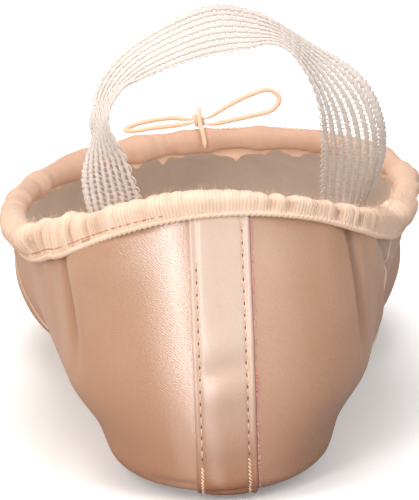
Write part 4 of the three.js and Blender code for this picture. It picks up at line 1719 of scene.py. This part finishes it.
class Band(NamedTuple):
    """One knitted band of the elastic: its place from the near edge and its width."""

    at: float
    width: float


@dataclass
class ElasticStrap:
    """Openwork elastic: knitted bands joined by fine cross threads, with picot loops."""

    bench: Bench
    width: float = 14.0
    steps: int = 680
    sides: int = 8
    chain: float = 1.12
    chain_lean: float = 0.42
    chain_shift: float = 1.9
    chain_sway: float = 0.1
    chain_swell: float = 0.14
    chain_lift: float = 0.1
    chain_notch: float = 0.08
    picot_pitch: float = 1.75
    picot_half: float = 0.66
    picot_root: float = 0.4
    picot_reach: float = 0.95
    thickness: float = 0.62
    thread: float = 0.085
    thread_bow: float = 0.16

    folds = (
        Fold(-19.4, 12.2, 43.0, 138, 0), Fold(-19.4, 14.8, 52.0, 138, 0),
        Fold(-20.2, 14.0, 58.5, 142, 0), Fold(-21.1, 13.0, 64.2, 132, -3),
        Fold(-21.8, 15.0, 72.6, 101, -3), Fold(-20.5, 18.0, 76.7, 101, -1),
        Fold(-17.5, 21.0, 80.7, 106, 9), Fold(-12.3, 23.0, 84.3, 105, 19),
        Fold(0.7, 25.0, 88.8, 90, 33), Fold(8.1, 25.0, 88.5, 84, 22),
        Fold(12.8, 24.5, 87.4, 83, 8), Fold(16.6, 24.0, 85.1, 77, 2),
        Fold(21.2, 23.4, 80.6, 60, 1), Fold(25.4, 24.6, 73.8, 41, -3),
        Fold(27.2, 28.0, 67.1, 35, -6), Fold(27.5, 33.0, 61.2, 38, -8),
        Fold(27.2, 38.0, 56.4, 45, -8), Fold(26.8, 42.5, 52.0, 52, -9),
        Fold(26.3, 45.5, 47.6, 57, -9), Fold(26.2, 46.5, 38.0, 58, -9))
    bands = (
        Band(0.6, 1.05), Band(2.35, 0.95), Band(4.1, 0.95), Band(5.9, 1.0), Band(7.7, 1.0),
        Band(9.5, 1.05), Band(11.2, 1.2), Band(12.85, 1.7))

    def course(self) -> Course:
        """The strap's course through its folds, at even steps."""
        middles = np.array([fold[:3] for fold in self.folds])
        fine = np.linspace(0, 1, 6000)
        length = along(spline(middles, fine))
        share = np.interp(np.linspace(0, length[-1], self.steps), length, fine)
        stops = np.linspace(0, 1, len(self.folds))
        turn, tilt = (
            np.radians(through([(s, getattr(f, name)) for s, f in zip(stops, self.folds)], share))
            for name in ("turn", "tilt"))
        middle = spline(middles, share)
        onward = unit(np.gradient(middle, axis=0))
        across = np.stack(
            [np.cos(tilt) * np.cos(turn), np.cos(tilt) * np.sin(turn), np.sin(tilt)], axis=-1)
        across = unit(across - onward * (across * onward).sum(-1, keepdims=True))
        return Course(middle, across, np.cross(onward, across), along(middle))

    def build(self) -> None:
        """Makes the strap as one piece."""
        course = self.course()
        form = joined(self.knitted(course), self.crossings(course), self.picots(course))
        self.bench.piece(
            "elastic_openwork", form, [ELASTIC_YARN.material()], Slot.ELASTIC, ("elastic_strap",))

    def knitted(self, course: Course) -> Form:
        """The chain-stitched bands."""
        angle = angles(self.sides)
        forms = []
        for number, band in enumerate(self.bands):
            offset = band.at - self.width / 2
            phase = 2 * math.pi * course.run / self.chain + number * self.chain_shift
            sway = self.chain_sway * np.sin(phase / 2)
            line = course.middle + course.across * (offset + sway)[:, None]
            thick = self.thickness / 2 * (1 + self.chain_lift * np.cos(phase))
            wide = band.width / 2 * (1 + self.chain_swell * np.cos(phase))
            notch = 1 - self.chain_notch * np.cos(phase)[:, None] * np.cos(2 * angle)[None, :]
            radius = notch / np.sqrt(
                (np.cos(angle)[None, :] / thick[:, None]) ** 2
                + (np.sin(angle)[None, :] / wide[:, None]) ** 2)
            forms.append(tubes(line[None], course.face[None], radius[None], self.sides))
        return joined(*forms)

    def crossings(self, course: Course) -> Form:
        """The slanted threads that join neighbouring bands."""
        count = int(course.run[-1] / self.chain) - 2
        share = np.linspace(0, 1, 5)
        forms = []
        for number, (near, far) in enumerate(zip(self.bands, self.bands[1:])):
            start = near.at + 0.2 * near.width - self.width / 2
            stop = far.at - 0.2 * far.width - self.width / 2
            for lean in (-self.chain_lean, self.chain_lean):
                place = (np.arange(count)[:, None] + 1 + 0.3 * (number % 3)) * self.chain
                place = place + (share - 0.5)[None, :] * lean * self.chain
                points, up = course.at(place, start + (stop - start) * share)
                bow = self.thread_bow * np.sin(share * math.pi) * np.sign(lean)
                forms.append(tubes(points + up * bow[None, :, None], up, self.thread, 4))
        return joined(*forms)

    def picots(self, course: Course) -> Form:
        """The small loops along the near edge."""
        count = int(course.run[-1] / self.picot_pitch) - 1
        turn = np.linspace(0, math.pi, 9)
        place = (np.arange(count)[:, None] + 0.6) * self.picot_pitch
        place = place - np.cos(turn)[None, :] * self.picot_half
        offset = self.picot_root - self.picot_reach * np.sin(turn) - self.width / 2
        return tubes(*course.at(place, offset), 1.5 * self.thread, 5)


@dataclass
class DrawstringBow:
    """The drawstring tied at the throat: knot, two loops and a tucked end."""

    last: Last
    bench: Bench
    cord: float = 1.0
    strand_pitch: float = 0.9
    strand_deep: float = 0.05
    cord_end: float = 0.25
    knot_place: tuple[float, float, float] = (-1.0, 0.6, 3.6)
    wrap_half: tuple[float, float, float] = (1.05, 0.92, 0.86)
    wrap_turns: float = 2.1
    sides: int = 10

    loop_right = (
        (0.8, 0.1, 0.2), (2.2, 0.3, 0.5), (6.0, 0.6, 2.6), (11.5, 1.2, 5.0), (15.5, 1.6, 5.7),
        (17.4, 1.6, 3.8), (16.0, 1.2, 1.6), (11.5, 0.6, 0.5), (6.5, 0.0, -0.3), (2.3, -0.3, -0.9),
        (0.8, -0.2, -0.6))
    loop_left = (
        (-0.7, 0.4, 0.1), (-2.3, 0.9, 0.2), (-5.5, 2.6, 0.3), (-10.0, 3.4, -0.2),
        (-14.0, 2.8, -1.0), (-15.6, 0.8, -1.6), (-14.0, -0.8, -1.6), (-10.0, -0.9, -1.1),
        (-5.5, -0.7, -0.8), (-2.3, -0.6, -0.5), (-0.7, -0.3, -0.3))
    tucked_end = (
        (0.2, 0.4, 2.1), (0.2, -0.6, 2.35), (0.1, -1.7, 1.6), (0.3, -2.6, -0.4), (0.9, -3.6, -2.6),
        (1.2, -4.0, -5.4))

    def knot(self) -> Array:
        """Middle of the knot, which stands over the middle of the throat."""
        return self.last.outside(1.0, self.last.collar_ring) + np.array(self.knot_place)

    def wraps(self) -> Array:
        """Places of the turns of the knot, from its middle."""
        turn = np.linspace(0, 2 * math.pi * self.wrap_turns, 60)
        return np.array(self.wrap_half) * np.stack(
            [np.linspace(-1, 1, 60), np.cos(turn), np.sin(turn)], axis=-1)

    def strand(self, places: Array, steps: int, out: tuple[float, float, float]
               ) -> tuple[Form, Array]:
        """A cord through places around the knot, and the line that it follows."""
        fine = np.linspace(0, 1, 2000)
        length = along(spline(places, fine))
        share = np.interp(np.linspace(0, length[-1], steps), length, fine)
        line = spline(places, share)
        run = along(line)
        angle = angles(self.sides)
        twist = np.cos(3 * angle[None, :] - 2 * math.pi * run[:, None] / self.strand_pitch)
        radius = self.cord / 2 * (1 + self.strand_deep * twist)
        radius = radius * tapered(steps, self.cord_end)[:, None]
        outs = np.broadcast_to(np.array(out), line.shape)
        return tubes(line[None], outs[None], radius[None], self.sides), line

    def build(self) -> None:
        """Makes the knot, the end and the two loops as cord pieces."""
        knot = self.knot()
        finish = [CORD_COTTON.material()]
        form, _ = self.strand(knot + self.wraps(), 90, (1.0, 0.0, 0.0))
        knot_piece = self.bench.piece("bow_wraps", form, finish, Slot.DRAWSTRING, ("bow_knot",))
        form, _ = self.strand(knot + np.array(self.tucked_end), 60, (1.0, 0.0, 0.0))
        end_piece = self.bench.piece("bow_tucked_end", form, finish, Slot.DRAWSTRING, ("bow_end",))
        loops = (
            ("bow_cord_right", self.loop_right, (0.0, 1.0, 0.0), "bow_loop_right",
             [knot_piece, end_piece]),
            ("bow_cord_left", self.loop_left, (0.0, 0.0, 1.0), "bow_loop_left", []))
        for name, places, out, node, carried in loops:
            form, line = self.strand(knot + np.array(places), 150, out)
            piece = self.bench.piece(name, form, finish, Slot.DRAWSTRING, (node,))
            path = self.bench.placed(line)
            tuple(self.bench.placed(knot))


@dataclass
class Soles:
    """Leather outsole let into the underside, and the cloth insole over the turned-in edge."""

    last: Last
    bench: Bench
    steps: int = 150
    across: int = 26
    end_share: float = 0.03
    outsole_round: float = 0.7
    insole_round: float = 0.5
    top_soft: float = 0.3

    def profile(self, half: Array, thickness: float, round_off: float) -> tuple[Array, Array]:
        """Sections of a plate with rounded edges.

        Args:
            half: half its width at each section.
            thickness: its thickness.
            round_off: radius of its lower edge.

        Returns:
            Distances across and up, a row per section.
        """
        wide = np.linspace(-1, 1, self.across)
        arc = np.linspace(0, math.pi / 2, 5)[1:]
        inset = np.minimum(round_off, 0.6 * half)
        foot = (half - inset)[:, None] * wide
        right = (half - inset)[:, None] + inset[:, None] * np.sin(arc)
        right_up = np.broadcast_to(round_off * (1 - np.cos(arc)), right.shape)
        top = np.stack([half, half, half - inset * 0.5], axis=1)
        top_up = np.broadcast_to(
            thickness - self.top_soft * np.array([1.0, 0.4, 0.0]), top.shape)
        over = (half - inset * 0.8)[:, None] * wide[::-1]
        x = np.concatenate([foot, right, top, over, -top[:, ::-1], -right[:, ::-1]], axis=1)
        up = np.concatenate([
            np.zeros(foot.shape), right_up, top_up, np.full(over.shape, thickness),
            top_up[:, ::-1], right_up[:, ::-1]], axis=1)
        return x, up

    @staticmethod
    def end_faces(rows: int, cols: int) -> Array:
        """Faces that close the two ends of a plate."""
        j = np.arange(cols // 2 - 1)
        quad = np.stack([j, j + 1, cols - 2 - j, cols - 1 - j], axis=-1)
        return np.concatenate([quad[:, ::-1], (rows - 1) * cols + quad])

    def plate(self, outline: Ring, bottom: float, thickness: float, round_off: float) -> Form:
        """A thin plate that follows the sole line, with rounded edges.

        Args:
            outline: its outline.
            bottom: height of its underside over the sole line.
            thickness: its thickness.
            round_off: radius of its lower edge.

        Returns:
            The plate.
        """
        turn = np.linspace(self.end_share, 1 - self.end_share, self.steps) * math.pi
        edge = self.last.ring_points(outline, (1 - np.cos(turn)) / 2)
        x, up = self.profile(edge[:, 0], thickness, round_off)
        y = np.broadcast_to(edge[:, 1:2], x.shape)
        points = np.stack([x, y, up + bottom + self.last.sole_rise(y)], axis=-1).reshape(-1, 3)
        rows, cols = x.shape
        faces = np.concatenate([grid_quads(rows, cols, False, True), self.end_faces(rows, cols)])
        faces = faces[:, ::-1]
        return Form(points, faces, points[faces][..., :2])

    def build(self) -> None:
        """Makes both soles."""
        last = self.last
        form = self.plate(
            last.ring(last.outsole_row), 0.0, last.outsole_thickness, self.outsole_round)
        self.bench.piece("outsole_leather", form, [SOLE_LEATHER.material()], Slot.SOLE, ("outsole",))
        form = self.plate(
            last.ring(last.insole_row), last.insole_bottom, last.insole_thickness, self.insole_round)
        self.bench.piece("insole_cloth", form, [INSOLE_CLOTH.material()], Slot.LINING, ("insole",))


class Shine(Enum):
    """What a lamp does: light the cloth, gleam in it, or both."""

    LIGHT = (True, False)
    GLEAM = (False, True)
    BOTH = (True, True)


class Lamp(NamedTuple):
    """One soft box: its place in metres, its size and power, its tint and what it does."""

    name: str
    place: tuple[float, float, float]
    wide: float
    tall: float
    power: float
    tint: Colour = (1.0, 0.99, 0.98)
    shine: Shine = Shine.BOTH


@dataclass(frozen=True)
class Studio:
    """Camera at the photograph's angle, pale floor and soft boxes."""

    azimuth: float = -1.0
    elevation: float = 13.0
    roll: float = 2.0
    distance: float = 1.2
    focal: float = 6287.0
    target: tuple[float, float, float] = (0.0, -0.11783, 0.0)
    target_pixel: tuple[float, float] = (229.0, 509.0)
    picture: tuple[int, int] = (419, 500)
    sensor: float = 36.0
    floor_size: float = 12.0
    room: float = 0.5
    room_mirrored: float = 0.1
    floor_lift: float = 0.2
    floor_seen: Colour = (0.95, 0.95, 0.95)
    floor_thrown: Colour = (0.38, 0.38, 0.38)
    aim: tuple[float, float, float] = (0.0, -0.08, 0.03)

    lamps = (
        Lamp("key_left", (-0.52, -1.58, 0.52), 0.14, 1.1, 14.6),
        Lamp("side_left", (-1.45, -0.1, 0.2), 1.2, 0.6, 7.2, (1.0, 0.86, 0.7), Shine.LIGHT),
        Lamp("front_right", (0.9, -1.4, 0.9), 0.9, 0.9, 7.4),
        Lamp("top", (-0.05, -0.1, 1.1), 0.7, 0.7, 7.8),
        Lamp("gleam_left", (-0.85, -1.1, 1.05), 0.4, 0.4, 18.0, shine=Shine.GLEAM),
        Lamp("gleam_right", (1.15, -0.5, 1.25), 0.7, 0.5, 9.0, shine=Shine.GLEAM),
        Lamp("gleam_key", (-0.5, -1.6, 0.3), 0.1, 0.8, 4.0, shine=Shine.GLEAM),
        Lamp("rim_left", (-0.8, 1.5, 0.6), 1.6, 1.2, 5.0, (1.0, 0.86, 0.72)))

    def build(self) -> None:
        """Sets camera, floor and lights."""
        self.camera()
        self.floor()
        self.soft_boxes()
        self.room_light()

    def camera(self) -> None:
        """Places the camera along the ray through the picture's middle."""
        a, e, r = (math.radians(v) for v in (self.azimuth, self.elevation, self.roll))
        back = Vector((math.sin(a) * math.cos(e), -math.cos(a) * math.cos(e), math.sin(e)))
        right = Vector((math.cos(a), math.sin(a), 0.0))
        up = back.cross(right)
        right, up = right * math.cos(r) - up * math.sin(r), right * math.sin(r) + up * math.cos(r)
        off_x = self.picture[0] / 2 - self.target_pixel[0]
        off_y = self.target_pixel[1] - self.picture[1] / 2
        ahead = (-back * self.focal + right * off_x + up * off_y).normalized()
        right = (right - ahead * right.dot(ahead)).normalized()
        up = right.cross(ahead)
        data = bpy.data.cameras.new("photo_camera")
        data.sensor_width = self.sensor
        data.lens = self.focal * self.sensor / max(self.picture)
        data.clip_start, data.clip_end = 0.05, 50.0
        camera = added("photo_camera", data)
        turn = Matrix((right, up, -ahead)).transposed().to_4x4()
        camera.matrix_world = Matrix.Translation(Vector(self.target) + back * self.distance) @ turn
        bpy.context.scene.camera = camera

    def floor(self) -> None:
        """Makes the pale floor."""
        half = self.floor_size / 2
        mesh = bpy.data.meshes.new("floor")
        corners = [(-half, -half, 0), (half, -half, 0), (half, half, 0), (-half, half, 0)]
        mesh.from_pydata(corners, [], [(0, 1, 2, 3)])
        material, sketch, shader = new_material("PaleFloor")
        seen = sketch.add("ShaderNodeLightPath").outputs["Is Camera Ray"]
        sketch.put(shader, {
            "Base Color": sketch.blend(seen, self.floor_thrown, self.floor_seen),
            "Emission Color": sketch.blend(seen, (0.0, 0.0, 0.0), (1.0, 1.0, 1.0)),
            "Emission Strength": self.floor_lift, "Roughness": 0.9, "Specular IOR Level": 0.1})
        mesh.materials.append(material)
        added("floor", mesh)

    def soft_boxes(self) -> None:
        """Sets the lamps, each turned to the shoe."""
        for lamp in self.lamps:
            data = bpy.data.lights.new(lamp.name, "AREA")
            data.shape = "RECTANGLE"
            data.size, data.size_y = lamp.wide, lamp.tall
            data.energy = lamp.power
            data.color = lamp.tint
            obj = added(lamp.name, data)
            obj.location = lamp.place
            aim = Vector(self.aim) - Vector(lamp.place)
            obj.rotation_euler = aim.to_track_quat("-Z", "Y").to_euler()
            obj.visible_diffuse, obj.visible_glossy = lamp.shine.value

    def room_light(self) -> None:
        """Sets the even light from all round, weaker where the cloth mirrors it."""
        world = bpy.data.worlds.new("soft_room")
        world.use_nodes = True
        sketch = NodeSketch(world.node_tree)
        mirrored = sketch.add("ShaderNodeLightPath").outputs["Is Glossy Ray"]
        strength = sketch.between(mirrored, 0.0, 1.0, self.room, self.room_mirrored)
        sketch.put(world.node_tree.nodes["Background"], {
            "Color": (1.0, 1.0, 1.0, 1.0), "Strength": strength})
        bpy.context.scene.world = world
        bpy.context.scene.view_settings.view_transform = "Standard"


def main() -> None:
    """Builds the studio and the shoe's pieces in order."""
    logging.basicConfig(level=logging.INFO, format="%(message)s")
    last = Last()
    bench = Bench(heel_y=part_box("upper")[0].y / MM - last.back_end())
    Studio().build()
    DrawstringBow(last, bench).build()
    Upper(last, bench).build()
    CollarBinding(last, bench).build()
    BackStrip(last, bench).build()
    ElasticStrap(bench).build()
    Soles(last, bench).build()


if __name__ == "__main__":
    main()
